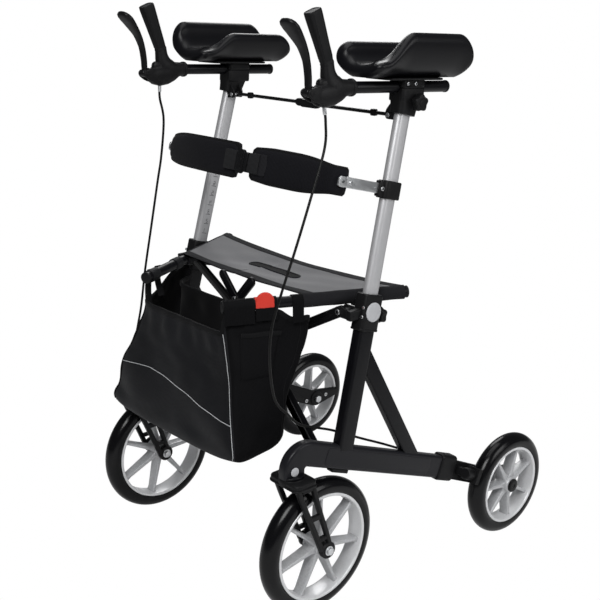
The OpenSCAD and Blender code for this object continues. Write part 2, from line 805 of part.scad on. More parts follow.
module clamp_knob() {
  color(black_c) on_clamp_knob() hand_knob(clamp_screw_l);
}

module arm_tube() {
  color(black_c) on_arm() difference() {
    translate([0, (arm_back - arm_front) / 2, 0]) rod_y(arm_r, arm_back + arm_front);
    translate([0, (arm_back - arm_front) / 2 - 10, 0]) rod_y(arm_r - tube_wall, arm_back + arm_front);
  }
}

// Forearm pad: a trough whose section is a thick U, swept along the arm with rounded ends
pad_rings = 25;
function ease(t) = let (c = min(max(t, 0), 1)) c * c * (3 - 2 * c);
function bulge(t) = sqrt(max(1 - t * t, 0.02));
// f runs 0 to 1 from the front to the rear
function pad_thick(f) = pad_t * (f < 0.1 ? bulge(1 - f / 0.1) : f > 0.9 ? bulge((f - 0.9) / 0.1) : 1);
function pad_rear(f) = f > 0.84 ? bulge((f - 0.84) / 0.17) : 1;
// Both pads have their low front corner on the +X side: outer on the left pad, inner on the right
function pad_wave(f) = 0.42 + 0.58 * ease((f - 0.02) / 0.24);
function pad_step(f) = 0.5 + 0.5 * ease(f / 0.14);
function pad_out(f, s) = (pad_out_h - pad_t / 2) * (s > 0 ? pad_wave(f) : pad_step(f)) * pad_rear(f);
function pad_in(f, s) = (pad_in_h - pad_t / 2) * (s > 0 ? pad_step(f) : pad_wave(f)) * pad_rear(f);
function pad_mid(t, f, s) =
  [(pad_w - pad_t) / 2 * sin(90 * t), (t > 0 ? pad_out(f, s) : pad_in(f, s)) * (1 - cos(90 * t))];
function pad_norm(t, f, s) = let (d = pad_mid(t + 0.01, f, s) - pad_mid(t - 0.01, f, s)) unit([-d[1], d[0]]);
function pad_lip(t) = abs(t) > 0.8 ? bulge((abs(t) - 0.8) / 0.2) : 1;
function pad_point(t, side, f, s) =
  let (p = pad_mid(t, f, s) + side * pad_norm(t, f, s) * pad_thick(f) / 2 * pad_lip(t))
  [p[0], pad_len * (f - 0.5), max(p[1], -pad_t / 2 + 3)];
pad_half = 14;
module forearm_pad(s) {
  seat = plate_gap + plate_t + pad_t / 2 - 3;
  rings = [for (i = [0 : pad_rings - 1]) let (f = i / (pad_rings - 1))
    concat([for (k = [0 : pad_half]) pad_point(1 - 2 * k / pad_half, -1, f, s)],
           [for (k = [0 : pad_half]) pad_point(-1 + 2 * k / pad_half, 1, f, s)])];
  color(black_c) on_arm() translate([0, pad_at, seat]) skin(rings);
}

// Handle: a body on the arm tube's front end, the grip above it and the lever in front
body_y = -arm_front - 43;
body_z = -9;
body_r = 22;
grip_y = body_y + 3;
grip_z = 40;
lever_y = body_y - 39;
lever_z = -8;
barrel_w = 14;
ear_w = 5;
lever_barrel_r = 8;
module on_grip() {
  on_arm() translate([0, grip_y, grip_z]) rotate([grip_lean, -grip_in, 0]) children();
}

module handle_body() {
  sleeve = 30;
  sleeve_r = arm_r + 4;
  nose_r = 14;
  ear_r = 9;
  ferrule_l = 14;
  module lever_place() { on_arm() translate([0, lever_y, lever_z]) children(); }
  color(black_c) {
    difference() {
      union() {
        on_arm() {
          translate([0, -arm_front + sleeve / 2 - 3, 0]) rod_y(sleeve_r, sleeve);
          hull() {
            translate([0, -arm_front, 0]) rod_y(sleeve_r, 2, $fn = 32);
            translate([0, body_y, body_z]) sphere(body_r, $fn = 24);
            translate([0, lever_y + 20, lever_z]) sphere(nose_r, $fn = 24);
          }
        }
        hull() {
          on_arm() translate([0, body_y, body_z + 6]) sphere(body_r - 2, $fn = 24);
          on_grip() translate([0, 0, -2]) cylinder(r = grip_r + 1, h = 2, $fn = 32);
        }
        for (e = [-1, 1]) lever_place() translate([e * (barrel_w / 2 + slide_gap + ear_w / 2), 0, 0]) {
          rod_x(ear_r, ear_w);
          translate([-ear_w / 2, 0, -ear_r]) cube([ear_w, 24, 2 * ear_r]);
        }
        translate(cable_high_left[0]) orient(unit(cable_high_left[0] - cable_high_left[1]))
          cylinder(r = cable_r + 2, h = ferrule_l);
      }
      on_arm() translate([0, (arm_back - arm_front) / 2, 0]) rod_y(arm_r, arm_back + arm_front);
      // Room for the lever's barrel and blade
      lever_place() rod_x(lever_barrel_r + 3, barrel_w + 2 * slide_gap);
    }
    lever_place() rod_x(lever_pin_r, barrel_w + 2 * slide_gap + 2 * ear_w);
  }
}

module grip() {
  waist = 1.2;
  cap = 3;
  color(black_c) on_grip() rotate_extrude() polygon(concat([[0, 0]],
    [for (i = [0 : 10]) [grip_r - waist * sin(18 * i) * (i < 6 ? 1 : 0.3), (grip_len - cap) * i / 10]],
    [[grip_r - cap, grip_len], [0, grip_len]]));
}

// Lever blade: hand-chosen stations [y, z, half width, half thickness] from the pivot
lever_line = [[0, 6, 4.6, 5], [-1, 14, 5, 5], [-3, 30, 7, 5], [-8, 54, 8, 5], [-17, 77, 9, 5],
  [-34, 100, 10, 5.5], [-56, 118, 8, 4.5]];
module brake_lever() {
  rings = [for (i = [0 : len(lever_line) - 1])
    let (p = lever_line[i], a = lever_line[max(i - 1, 0)], b = lever_line[min(i + 1, len(lever_line) - 1)],
         t = unit([b[0] - a[0], b[1] - a[1]]))
    [for (j = [0 : 15]) let (c = cos(22.5 * j) * p[2] * lever_w / 20, q = sin(22.5 * j) * p[3])
      [c, p[0] + q * t[1], p[1] - q * t[0]]]];
  color(black_c) on_arm() translate([0, lever_y, lever_z]) difference() {
    union() {
      rod_x(lever_barrel_r, barrel_w);
      skin(rings);
    }
    rod_x(lever_pin_r + run_fit, barrel_w + 2);
  }
}

module brake_cable(high) {
  color(black_c) skin(cord_rings(concat(high, cable_low), cable_r, cable_n));
}

// Fold struts: from the beams up to a common pin, past which each goes on as a thin stub under the seat.
// Past the full bar, half the width is cut away, so that the two lie side by side
module fold_strut(s) {
  eye = pin_r + 6;
  tongue_l = 28;
  bar_l = strut_len - tongue_l;
  lap = (strut_w + slide_gap) / 2;
  lap_y = s > 0 ? strut_w / 2 - lap : -strut_w / 2 - 1;
  pin_in = 2;
  color(black_c) translate([strut_foot_x, strut_y, strut_foot_z]) rotate([0, -180 + strut_rise, 0]) {
    difference() {
      rotate([90, 0, 0]) linear_extrude(strut_w, center = true) {
        circle(eye);
        translate([0, -strut_h / 2]) square([strut_len + strut_stub, strut_h]);
        translate([strut_len, 0]) circle(eye);
      }
      translate([bar_l, lap_y, -2 * eye]) cube([tongue_l + 2 * strut_stub, lap + 1, 4 * eye]);
      rod_y(pin_r + run_fit, strut_w + 2);
      if (s < 0) translate([strut_len, 0, 0]) rod_y(pin_r + run_fit, strut_w + 2);
    }
    if (s > 0) translate([strut_len, pin_in / 2, 0]) rod_y(pin_r, strut_w - pin_in);
  }
}

// Fold links: from the collars down towards the middle, one in front of the other
module fold_link(s) {
  eye = link_h / 2;
  y = link_y - s * (link_t + slide_gap) / 2;
  color(black_c) translate([link_x, y, link_z]) difference() {
    union() {
      rod_y(eye, link_t);
      rotate([0, -180 - link_fall, 0]) translate([0, -link_t / 2, -link_h / 2])
        cube([link_len, link_t, link_h]);
      rotate([0, -180 - link_fall, 0]) translate([link_len, 0, 0]) rod_y(eye, link_t);
    }
    rod_y(pin_r + run_fit, link_t + 2);
    rotate([0, -180 - link_fall, 0]) translate([link_len, 0, 0]) rod_y(pin_r, link_t + 2);
  }
}

module tie_link(s) {
  y = tie_at[1] - s * (link_t + slide_gap) / 2;
  color(black_c) translate([tie_x, y, tie_at[2]]) difference() {
    union() {
      rod_y(tie_ear_r - 2, link_t);
      translate([-tie_len, -link_t / 2, -tie_h / 2]) cube([tie_len, link_t, tie_h]);
    }
    rod_y(tie_pin_r + run_fit, link_t + 2);
  }
}

module seat_net() {
  from = (seat_front_y - rail_front_y) / cos(rail_turn);
  upto = (seat_rear_y - rail_front_y) / cos(rail_turn);
  gap = soft_gap;
  sleeve_t = net_t + 1;
  top = rail_z + rail_r + 2 * gap;
  color(net_c) {
    for (s = [-1, 1]) on_side(s) difference() {
      rail_solid(sleeve_t + gap, from, upto);
      rail_solid(gap, from - 1, upto + 1);
      collar_outline();
      rail_block(gap);
    }
    difference() {
      translate([0, 0, top]) linear_extrude(net_t) polygon([
        [-rail_x(seat_front_y), seat_front_y], [rail_x(seat_front_y), seat_front_y],
        [rail_x(seat_rear_y), seat_rear_y], [-rail_x(seat_rear_y), seat_rear_y]]);
      translate([0, (seat_front_y + seat_rear_y) / 2, top - 1]) linear_extrude(net_t + 2)
        rotate(90) oval(slot_w, slot_l);
      for (s = [-1, 1]) on_side(s) {
        on_upright(0) linear_extrude(mast_top) round_rect(mast_w + 3, mast_d + 3, 6);
        collar_outline();
      }
    }
  }
}

// Bag: a soft shell, open at the top and hung under the rails. h runs 0 to 1 from the bottom to the mouth
bag_bottom_in = 55;
bag_bottom_x = caster_x - bag_bottom_in;
bag_rear_in = 76;
bag_rear_x = caster_x - bag_rear_in;
bag_levels = 9;
bag_n = 32;
bag_mouth_front = rail_z - 53;
bag_mouth_rear = rail_z - 40;
bag_top_front_y = rail_front_y - 4;
bag_top_rear_y = -165;
bag_mid_rear_y = -236;
bag_low_rear_y = -258;
function mix(a, b, t) = a + (b - a) * t;
function bag_round(h) = h < 0.12 ? 0.86 + 0.14 * bulge(1 - h / 0.12) : 1;
// One point of the bag's wall: a runs round the section, starting at the front middle. The rear wall
// is drawn forward in its middle, so that the fold struts pass behind it
function bag_point(h, a, wall) = let (
    c = cos(a), n = sin(a),
    q = sign(n) * pow(abs(n), 0.35), r = -sign(c) * pow(abs(c), 0.35), v = (r + 1) / 2, k = bag_round(h),
    side = pow(abs(q), 6),
    fy = mix(bag_front_y, bag_top_front_y, ease(h)) + wall,
    ry = mix(bag_low_rear_y, mix(bag_mid_rear_y, bag_top_rear_y, side), ease(2 * h)) - wall,
    front_half = mix(bag_bottom_x, rail_front_x + 2, pow(h, 1.2)),
    rear_half = mix(bag_rear_x, rail_x(bag_top_rear_y), h),
    half = mix(front_half, rear_half, v) - wall,
    mid = (fy + ry) / 2,
    mouth = mix(mix(bag_mouth_front, bag_mouth_rear, v), rail_z - rail_r - 0.4, side))
  [k * half * q, mid + k * (mix(fy, ry, v) - mid), mix(bag_low_z + wall, mouth, h)];
module bag() {
  hs = [for (i = [0 : bag_levels]) pow(i / bag_levels, 1.5)];
  function ring(h, wall) = [for (j = [0 : bag_n - 1]) bag_point(h, 360 * j / bag_n, wall)];
  last = bag_levels;
  outer = [for (i = [0 : last]) ring(hs[i], 0)];
  inner = [for (i = [0 : last]) ring(hs[last - i], bag_wall)];
  color(black_c) skin(concat(outer, inner));
}

// Back strap: a padded band bowed to the front between the strap arms
strap_rings = 33;
// Half the strap's path, f from 0 at the middle to 1 at the end: bowed, then bent back along the arm
function strap_path(f, half) = let (g = abs(f), x = half * sign(f) * (1 - pow(1 - g, 2.2)))
  [x, -strap_bow * (1 - x * x / half / half) - strap_wrap * (1 - pow(g, 10))];
module back_strap() {
  reach = strap_reach - strap_wrap;
  bar_dir = [-sin(upright_lean) * sin(upright_in), -cos(upright_lean), sin(upright_lean)];
  end = up_at(strap_at) + reach * bar_dir;
  half = end[0] - strap_bar_t / 2 - soft_gap - strap_t / 2;
  rings = [for (i = [0 : strap_rings - 1])
    let (f = 2 * i / (strap_rings - 1) - 1, g = abs(f), at = strap_path(f, half),
         along = unit(strap_path(min(f + 0.01, 1), half) - strap_path(max(f - 0.01, -1), half)),
         tip = bulge(min(1, max(0, (g - 0.94) / 0.06)) * 0.98),
         h = (strap_end_h + (strap_h - strap_end_h) * ease(1.6 - 1.6 * g)) / 2 * tip, t = strap_t / 2 * tip)
    [for (j = [0 : 15]) let (c = cos(22.5 * j), n = sin(22.5 * j),
        q = t * sign(c) * pow(abs(c), 0.6), p = h * sign(n) * pow(abs(n), 0.6))
      [at[0] - q * along[1], at[1] + q * along[0], p]]];
  color(black_c) translate([0, end[1], end[2]]) rotate([-upright_lean, 0, 0]) skin(rings);
}

module pull_tab() {
  tab_r = 18;
  tab_t = 5;
  along = 82;
  color([0.83, 0.2, 0.16]) difference() {
    translate(rail_a) rotate([0, 0, -rail_turn]) translate([0, along, 0]) {
      rod_y(rail_r + 3, 2 * tab_r);
      translate([rail_r + 3 - tab_t, -tab_r, 0]) cube([tab_t, 2 * tab_r, 8]);
      translate([rail_r + 3 - tab_t / 2, 0, 8]) rod_x(tab_r, tab_t);
    }
    rail_solid();
    translate([0, rail_front_y, rail_z - 2 * rail_r - 4]) cube([2 * rail_rear_x, 2 * rail_len, 2 * rail_r]);
  }
}

lower_beam();  // lower_beam_left
on_side(-1) lower_beam();  // lower_beam_right
upright_tube();  // upright_tube_left
on_side(-1) upright_tube();  // upright_tube_right
rear_brace();  // rear_brace_left
on_side(-1) rear_brace();  // rear_brace_right
height_collar();  // height_collar_left
on_side(-1) height_collar();  // height_collar_right
frame_plugs();  // frame_plugs_left
on_side(-1) frame_plugs();  // frame_plugs_right
height_knob();  // height_knob_left
on_side(-1) height_knob();  // height_knob_right
seat_rail();  // seat_rail_left
on_side(-1) seat_rail();  // seat_rail_right
brake_housing();  // brake_housing_left
on_side(-1) brake_housing();  // brake_housing_right
rear_axle();  // rear_axle_left
on_side(-1) rear_axle();  // rear_axle_right
rear_tyre();  // rear_tyre_left
on_side(-1) rear_tyre();  // rear_tyre_right
rear_rim(rear_turn_left);  // rear_rim_left
on_side(-1) rear_rim(rear_turn_right);  // rear_rim_right
brake_shoe();  // brake_shoe_left
on_side(-1) brake_shoe();  // brake_shoe_right
caster_fork();  // caster_fork_left
on_side(-1) caster_fork();  // caster_fork_right
front_tyre();  // front_tyre_left
on_side(-1) front_tyre();  // front_tyre_right
front_rim(front_turn_left);  // front_rim_left
on_side(-1) front_rim(front_turn_right);  // front_rim_right
mast();  // mast_left
on_side(-1) mast();  // mast_right
strap_arm();  // strap_arm_left
on_side(-1) strap_arm();  // strap_arm_right
tie_link(1);  // tie_link_left
on_side(-1) tie_link(-1);  // tie_link_right
arm_clamp();  // arm_clamp_left
on_side(-1) arm_clamp();  // arm_clamp_right
clamp_knob();  // clamp_knob_left
on_side(-1) clamp_knob();  // clamp_knob_right
arm_tube();  // arm_tube_left
on_side(-1) arm_tube();  // arm_tube_right
forearm_pad(1);  // forearm_pad_left
on_side(-1) forearm_pad(-1);  // forearm_pad_right
handle_body();  // handle_body_left
on_side(-1) handle_body();  // handle_body_right
grip();  // grip_left
on_side(-1) grip();  // grip_right
brake_lever();  // brake_lever_left
on_side(-1) brake_lever();  // brake_lever_right
brake_cable(cable_high_left);  // brake_cable_left
on_side(-1) brake_cable(cable_high_right);  // brake_cable_right
fold_strut(1);  // fold_strut_left
on_side(-1) fold_strut(-1);  // fold_strut_right
fold_link(1);  // fold_link_left
on_side(-1) fold_link(-1);  // fold_link_right
seat_net();
bag();
back_strap();
pull_tab();
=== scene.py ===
# %% [markdown]
# # Upright walker: the look around the packed frame
# An upright walker is a wheeled frame with two forearm pads, brake handles, a seat and a bag. The packed
# part gives its bodies, joints and hard sizes; this lesson builds what the eye sees around them. Every
# piece is a numpy surface: a section carried along a path, a turned profile or a formula. It is worked
# out in millimetres and stored in metres. Left is +X and forward is -Y.

# %% Load the frame
import math
import bpy
import numpy as np
from mathutils import Matrix


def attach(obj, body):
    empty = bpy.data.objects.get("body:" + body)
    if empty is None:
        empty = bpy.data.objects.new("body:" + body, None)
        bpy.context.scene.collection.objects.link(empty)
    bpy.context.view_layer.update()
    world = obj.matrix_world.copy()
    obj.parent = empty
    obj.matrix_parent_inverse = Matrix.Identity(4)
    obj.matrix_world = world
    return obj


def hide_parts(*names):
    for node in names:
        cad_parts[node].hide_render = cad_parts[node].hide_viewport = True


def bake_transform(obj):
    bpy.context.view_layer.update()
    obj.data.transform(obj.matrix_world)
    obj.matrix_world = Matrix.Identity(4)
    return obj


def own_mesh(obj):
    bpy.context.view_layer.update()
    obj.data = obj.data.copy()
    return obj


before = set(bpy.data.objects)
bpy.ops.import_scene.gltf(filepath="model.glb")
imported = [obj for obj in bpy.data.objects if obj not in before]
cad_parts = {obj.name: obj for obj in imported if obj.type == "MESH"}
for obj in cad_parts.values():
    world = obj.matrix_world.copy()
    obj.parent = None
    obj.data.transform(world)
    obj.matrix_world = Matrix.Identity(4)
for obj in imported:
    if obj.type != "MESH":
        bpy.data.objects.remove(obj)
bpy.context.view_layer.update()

# %% [markdown]
# ## Places
# A place is a 4 x 4 matrix, a turn followed by a move. A piece is drawn about its own origin, where a
# screw is just a disc on z, and its place carries it to where it sits. The right side could be drawn
# again with other signs; here it is the left one times a mirror, so that each side is drawn once and both
# stay alike.

# %% Turns and places
def turn(rx=0.0, ry=0.0, rz=0.0):
    """Rotation Rz Ry Rx, angles in degrees."""
    a, b, c = np.radians([rx, ry, rz])
    x = np.array([[1, 0, 0], [0, np.cos(a), -np.sin(a)], [0, np.sin(a), np.cos(a)]])
    y = np.array([[np.cos(b), 0, np.sin(b)], [0, 1, 0], [-np.sin(b), 0, np.cos(b)]])
    z = np.array([[np.cos(c), -np.sin(c), 0], [np.sin(c), np.cos(c), 0], [0, 0, 1]])
    return z @ y @ x


def place(origin=(0, 0, 0), rotation=np.eye(3)):
    """The 4 x 4 matrix that turns by rotation and then moves to origin."""
    m = np.eye(4)
    m[:3, :3] = rotation
    m[:3, 3] = origin
    return m


def facing(origin, z, x=(0, 0, 1)):
    """A place whose local z points along z, with local x as near to x as it can be."""
    z = np.array(z, float) / np.linalg.norm(z)
    x = np.array(x, float) - np.dot(x, z) * z
    x /= np.linalg.norm(x)
    return place(origin, np.column_stack([x, np.cross(z, x), z]))


def moved(m, *offset):
    """m shifted by a local offset."""
    return m @ place(offset)


def outward(e):
    """Turn that points local z to +X (e = 1) or -X (e = -1)."""
    return turn(0, 90 * e, 0)


def rearward(e):
    """Turn that points local z to the rear (e = 1) or the front (e = -1)."""
    return turn(-90 * e, 0, 0)


def unit(v):
    """v at length one."""
    return v / np.linalg.norm(v)


MIRROR = {1: np.eye(4), -1: np.diag([-1.0, 1, 1, 1])}
SIDES = ((1, "left"), (-1, "right"))
AXLE, AHEAD, FLAT = outward(1), rearward(-1), turn(rz=90)
# Local x runs back, y up and z outwards
SIDE_ON = np.array([[0.0, 0, 1], [1, 0, 0], [0, 1, 0]])
UP = np.array([0, 0, 1.0])
print("places for", [name for _, name in SIDES])

# %% [markdown]
# ## Sizes of the frame
# These lengths repeat the packed part's own, so that the surfaces meet its joints. The beam falls to the
# rear in an upright plane that toes out, the upright leans back and a little inwards, and the arm tube
# sits on the mast. Points are found along these axes instead of being typed, because a lean would be lost
# in typed ones.

# %% Sizes and axes
CASTER_X, CASTER_Y, TRAIL, HEAD_Z, HEAD_L = 281.0, -307.5, 64.5, 310.0, 9.0
FALL, TOE, BEAM_H, BEAM_W, BEAM_L = 21.2, 3.3, 49.0, 24.0, 408.0
LEAN, LEAN_IN, UP_AT, UP_LEN, COLLAR_H = 14.6, 2.06, 127.0, 299.0, 70.0
MAST_TOP, ARM_RISE, ARM_TILT, ARM_TOE = 668.0, 26.0, 3.0, -1.5
FRONT_R, REAR_R, REAR_X, REAR_Y, TYRE_W = 140.0, 116.5, 337.0, 278.5, 40.0
RAIL_Z, RAIL_R = 615.0, 11.0
RAIL_A, RAIL_B = np.array([129.0, -350, RAIL_Z]), np.array([288.0, -12, RAIL_Z])
RAIL_DIR = unit(RAIL_B - RAIL_A)
RAIL_OUT = np.array([RAIL_DIR[1], -RAIL_DIR[0], 0])
STRUT_FOOT, STRUT_TOP_Z = (247, -212.5, 316), 574
LINK_HEAD, LINK_LOW_Z = (246, -146, 594), 462
STRAP_ARM_AT, HEIGHT_KNOB_AT, TIE_INSET = 499, 259, 24
FALL_SIN, FALL_COS = math.sin(math.radians(FALL)), math.cos(math.radians(FALL))
TOE_SIN, TOE_COS = math.sin(math.radians(TOE)), math.cos(math.radians(TOE))
BEND = 4 + BEAM_H / 2
ELBOW_Z = HEAD_Z + HEAD_L
BEAM_U0 = BEND * (1 + FALL_SIN)
BEAM_Z0 = ELBOW_Z + BEND * FALL_COS


def beam_z(u):
    """Height of the beam's middle line, u behind the steering axis."""
    return BEAM_Z0 - (u - BEAM_U0) * FALL_SIN / FALL_COS


def beam_at(u, z):
    """A point of the beam's upright plane."""
    return np.array([CASTER_X + u * TOE_SIN, CASTER_Y + u * TOE_COS, z])


BEAM = place((CASTER_X, CASTER_Y, 0), turn(rz=-TOE) @ SIDE_ON)
BEAM_END_U = BEAM_U0 + BEAM_L * FALL_COS
BEAM_END = beam_at(BEAM_END_U, beam_z(BEAM_END_U))
PLATE_X = REAR_X - TYRE_W / 2 - 5
UP_TURN = turn(-LEAN, -LEAN_IN, 0)
UP_FOOT = beam_at(UP_AT, beam_z(UP_AT) + BEAM_H / 2 / FALL_COS)


def on_beam(u):
    """Local x down along the beam, y square to it, z outwards."""
    return BEAM @ place((u, beam_z(u), 0), turn(rz=-FALL))


def up_at(s):
    """A point of the upright's axis, s above the beam."""
    return UP_FOOT + s * UP_TURN[:, 2]


def on_up(s):
    """Local z along the upright, x outwards, y to the rear."""
    return place(up_at(s), UP_TURN)


def rail_x(y):
    """Half distance between the rails at y."""
    return RAIL_A[0] + (y - RAIL_A[1]) * RAIL_DIR[0] / RAIL_DIR[1]


def rail_at(y):
    """A point of the left rail's axis."""
    return np.array([rail_x(y), y, RAIL_Z])


ARM = place(up_at(MAST_TOP + ARM_RISE), turn(-ARM_TILT, 0, ARM_TOE))
TIE = up_at(MAST_TOP - 28) - [TIE_INSET, 0, 0]
print("upright foot", UP_FOOT.round(1), "arm", ARM[:3, 3].round(1))

# %% [markdown]
# ## Outlines
# Most hard parts of a walker are pressed or moulded, so each starts as a flat outline: a rectangle with
# round corners, a polygon with its corners eased, or an oval. They could be drawn as curve objects; as
# arrays of points they can be moved, inset and joined by plain sums.

# %% Outlines
def corner_rect(w, h, r, k=6):
    """Rectangle w x h with corner radius r, k + 1 points to a corner, anticlockwise."""
    out = []
    for q, (sx, sy) in enumerate(((1, 1), (-1, 1), (-1, -1), (1, -1))):
        a = np.radians(90 * q + np.linspace(0, 90, k + 1))
        out.append(np.column_stack([sx * (w / 2 - r) + r * np.cos(a), sy * (h / 2 - r) + r * np.sin(a)]))
    return np.concatenate(out)


def round_poly(points, radius, k=5):
    """Polygon with its corners turned into quadratic arcs that start `radius` before each corner."""
    p = np.asarray(points, float)
    t = np.linspace(0, 1, k + 1)[:, None]
    out = []
    for i, c in enumerate(p):
        before, after = p[i - 1] - c, p[(i + 1) % len(p)] - c
        start, end = (c + unit(d) * min(radius, np.linalg.norm(d) * 0.48) for d in (before, after))
        out.append(start * (1 - t) ** 2 + 2 * c * t * (1 - t) + end * t ** 2)
    return np.concatenate(out)


def ring(rx, ry=None, n=32, power=1.0):
    """Superellipse: (rx sgn(c)|c|^p, ry sgn(s)|s|^p)."""
    a = np.linspace(0, 2 * np.pi, n, endpoint=False)
    c, s = np.cos(a), np.sin(a)
    ry = rx if ry is None else ry
    return np.column_stack([rx * np.sign(c) * np.abs(c) ** power, ry * np.sign(s) * np.abs(s) ** power])


def arc(r, first, last, n):
    """n points (r cos a, r sin a) from the first to the last angle in degrees."""
    a = np.radians(np.linspace(first, last, n))
    return r * np.column_stack([np.cos(a), np.sin(a)])


def inset(outline, d):
    """The closed outline moved inwards by d along its vertex normals."""
    e = np.roll(outline, -1, 0) - np.roll(outline, 1, 0)
    e /= np.maximum(np.linalg.norm(e, axis=1, keepdims=True), 1e-9)
    return outline + d * np.column_stack([-e[:, 1], e[:, 0]])


print("a rounded rectangle has", len(corner_rect(20, 10, 2)), "points")

# %% [markdown]
# ## Solids
# A solid is an outline raised to a thickness, or a profile turned about an axis. Its edges are drawn with
# small quarter rounds in the grid itself: a bevel modifier would do it too, but the formula keeps the same
# points at every run.

# %% Solids
def quarter(fillet, k=4):
    """Quarter round as rows (inset f(1 - sin a), depth f(1 - cos a))."""
    a = np.radians(np.linspace(0, 90, k + 1))
    return [(fillet * (1 - math.sin(t)), fillet * (1 - math.cos(t))) for t in a]


def prism(outline, z0, z1, fillet=1.5, k=4):
    """Outline raised from z0 to z1 with quarter-round edges."""
    outline = np.asarray(outline, float)
    low = [(d, z0 + depth) for d, depth in quarter(fillet, k)]
    high = [(d, z1 + z0 - z) for d, z in low[::-1]]
    return np.array([np.column_stack([inset(outline, d), np.full(len(outline), z)]) for d, z in low + high])


def hollow(outer, inner, z0, z1, fillet=1.5):
    """A tube between two outlines of equally many points, its outer ends rounded over."""
    outside = prism(outer, z0, z1, fillet)
    inside = [np.column_stack([inner, np.full(len(inner), z)]) for z in (z1, z0)]
    return np.concatenate([outside, inside])


def lathe(profile, n=40, lobes=0, depth=0.0):
    """Profile rows (radius, height) turned about z; lobes scallop it: r(1 - depth(1 + cos l a)/2)."""
    a = np.linspace(0, 2 * np.pi, n, endpoint=False)
    s = 1 - depth * (1 + np.cos(lobes * a)) / 2
    circle = np.column_stack([s * np.cos(a), s * np.sin(a)])
    return np.array([np.column_stack([r * circle, np.full(n, h)]) for r, h in profile])


def puck(r, h, fillet=1.0, k=4):
    """Profile of a disc from 0 to h with rounded rims."""
    low = [(r - d, depth) for d, depth in quarter(fillet, k)]
    return low + [(x, h - z) for x, z in low[::-1]]


print("a puck of 5 mm has", len(puck(5, 2)), "profile rows")

# %% [markdown]
# ## Sweeps
# Tubes, straps and seams are sections carried along a path. Each path point has two axes square to it,
# with one of them kept near a chosen direction, so that a flat tape doesn't twist as it would with
# curvature axes.

# %% Sweeps and curves
def frames(path, up):
    """Axes e and f along a path, both square to it, with f near up and e x f along the path."""
    t = np.gradient(path, axis=0)
    t /= np.linalg.norm(t, axis=1, keepdims=True)
    f = np.broadcast_to(np.asarray(up, float), path.shape)
    f = f - (f * t).sum(1, keepdims=True) * t
    f /= np.linalg.norm(f, axis=1, keepdims=True)
    return np.cross(f, t), f


def sweep(path, section, up=(0, 0, 1)):
    """Section points (x, y), the same for all or one set per path point, carried as p + x e + y f."""
    path = np.asarray(path, float)
    e, f = frames(path, up)
    section = np.asarray(section, float)
    if section.ndim == 2:
        section = np.broadcast_to(section, (len(path),) + section.shape)
    return path[:, None] + section[..., :1] * e[:, None] + section[..., 1:] * f[:, None]


def curve(points, step=6.0):
    """Catmull-Rom curve through points, sampled about every `step`."""
    p = np.asarray(points, float)
    p = np.vstack([2 * p[0] - p[1], p, 2 * p[-1] - p[-2]])
    out = []
    for a, b, c, d in zip(p, p[1:], p[2:], p[3:]):
        k = max(2, int(np.linalg.norm(c - b) / step))
        t = np.linspace(0, 1, k, endpoint=False)[:, None]
        square, cube = 2 * a - 5 * b + 4 * c - d, 3 * b - a - 3 * c + d
        out.append(0.5 * (2 * b + (c - a) * t + square * t ** 2 + cube * t ** 3))
    return np.vstack(out + [p[-2][None]])


def rounded_ends(path, section, fillet, up=(0, 0, 1), k=4):
    """A straight or gently bent bar whose ends are rounded over by `fillet`."""
    path = np.asarray(path, float)
    t0, t1 = unit(path[1] - path[0]), unit(path[-1] - path[-2])
    edge = quarter(fillet, k)[:-1]
    first = [path[0] + t0 * depth for _, depth in edge]
    last = [path[-1] - t1 * depth for _, depth in edge[::-1]]
    mid = [path[0] + t0 * fillet] + list(path[1:-1]) + [path[-1] - t1 * fillet]
    ends = [inset(section, d) for d, _ in edge]
    e, f = ([v[0]] * k + list(v) + [v[-1]] * k for v in frames(path, up))
    rows = zip(first + mid + last, ends + [section] * len(mid) + ends[::-1], e, f)
    return np.array([c + s[:, :1] * x + s[:, 1:] * y for c, s, x, y in rows])


def tube(path, r, n=16, fillet=None, up=(0, 0, 1)):
    """A round rod along a path."""
    if fillet:
        return rounded_ends(path, ring(r, n=n), fillet, up)
    return sweep(path, ring(r, n=n), up)


def ease(t):
    """Smooth step 3t^2 - 2t^3, clamped."""
    t = np.clip(t, 0, 1)
    return t * t * (3 - 2 * t)


def mix(a, b, t):
    """Straight mix of a and b."""
    return a + (b - a) * t


def bulge(t):
    """Quarter of a circle, sqrt(1 - t^2), kept above zero."""
    return np.sqrt(np.maximum(1 - t * t, 0.0004))


print("a curve through 3 points has", len(curve([(0, 0, 0), (0, 30, 0), (0, 60, 9)])), "points")

# %% [markdown]
# ## One mesh for each piece
# `Build` gathers grids of points into one mesh. Rings run anticlockwise about the sweep direction, so
# that faces look outwards, and a mirrored place turns them round again. A piece rides the body it is
# fixed to, and it says which packed nodes it stands for.

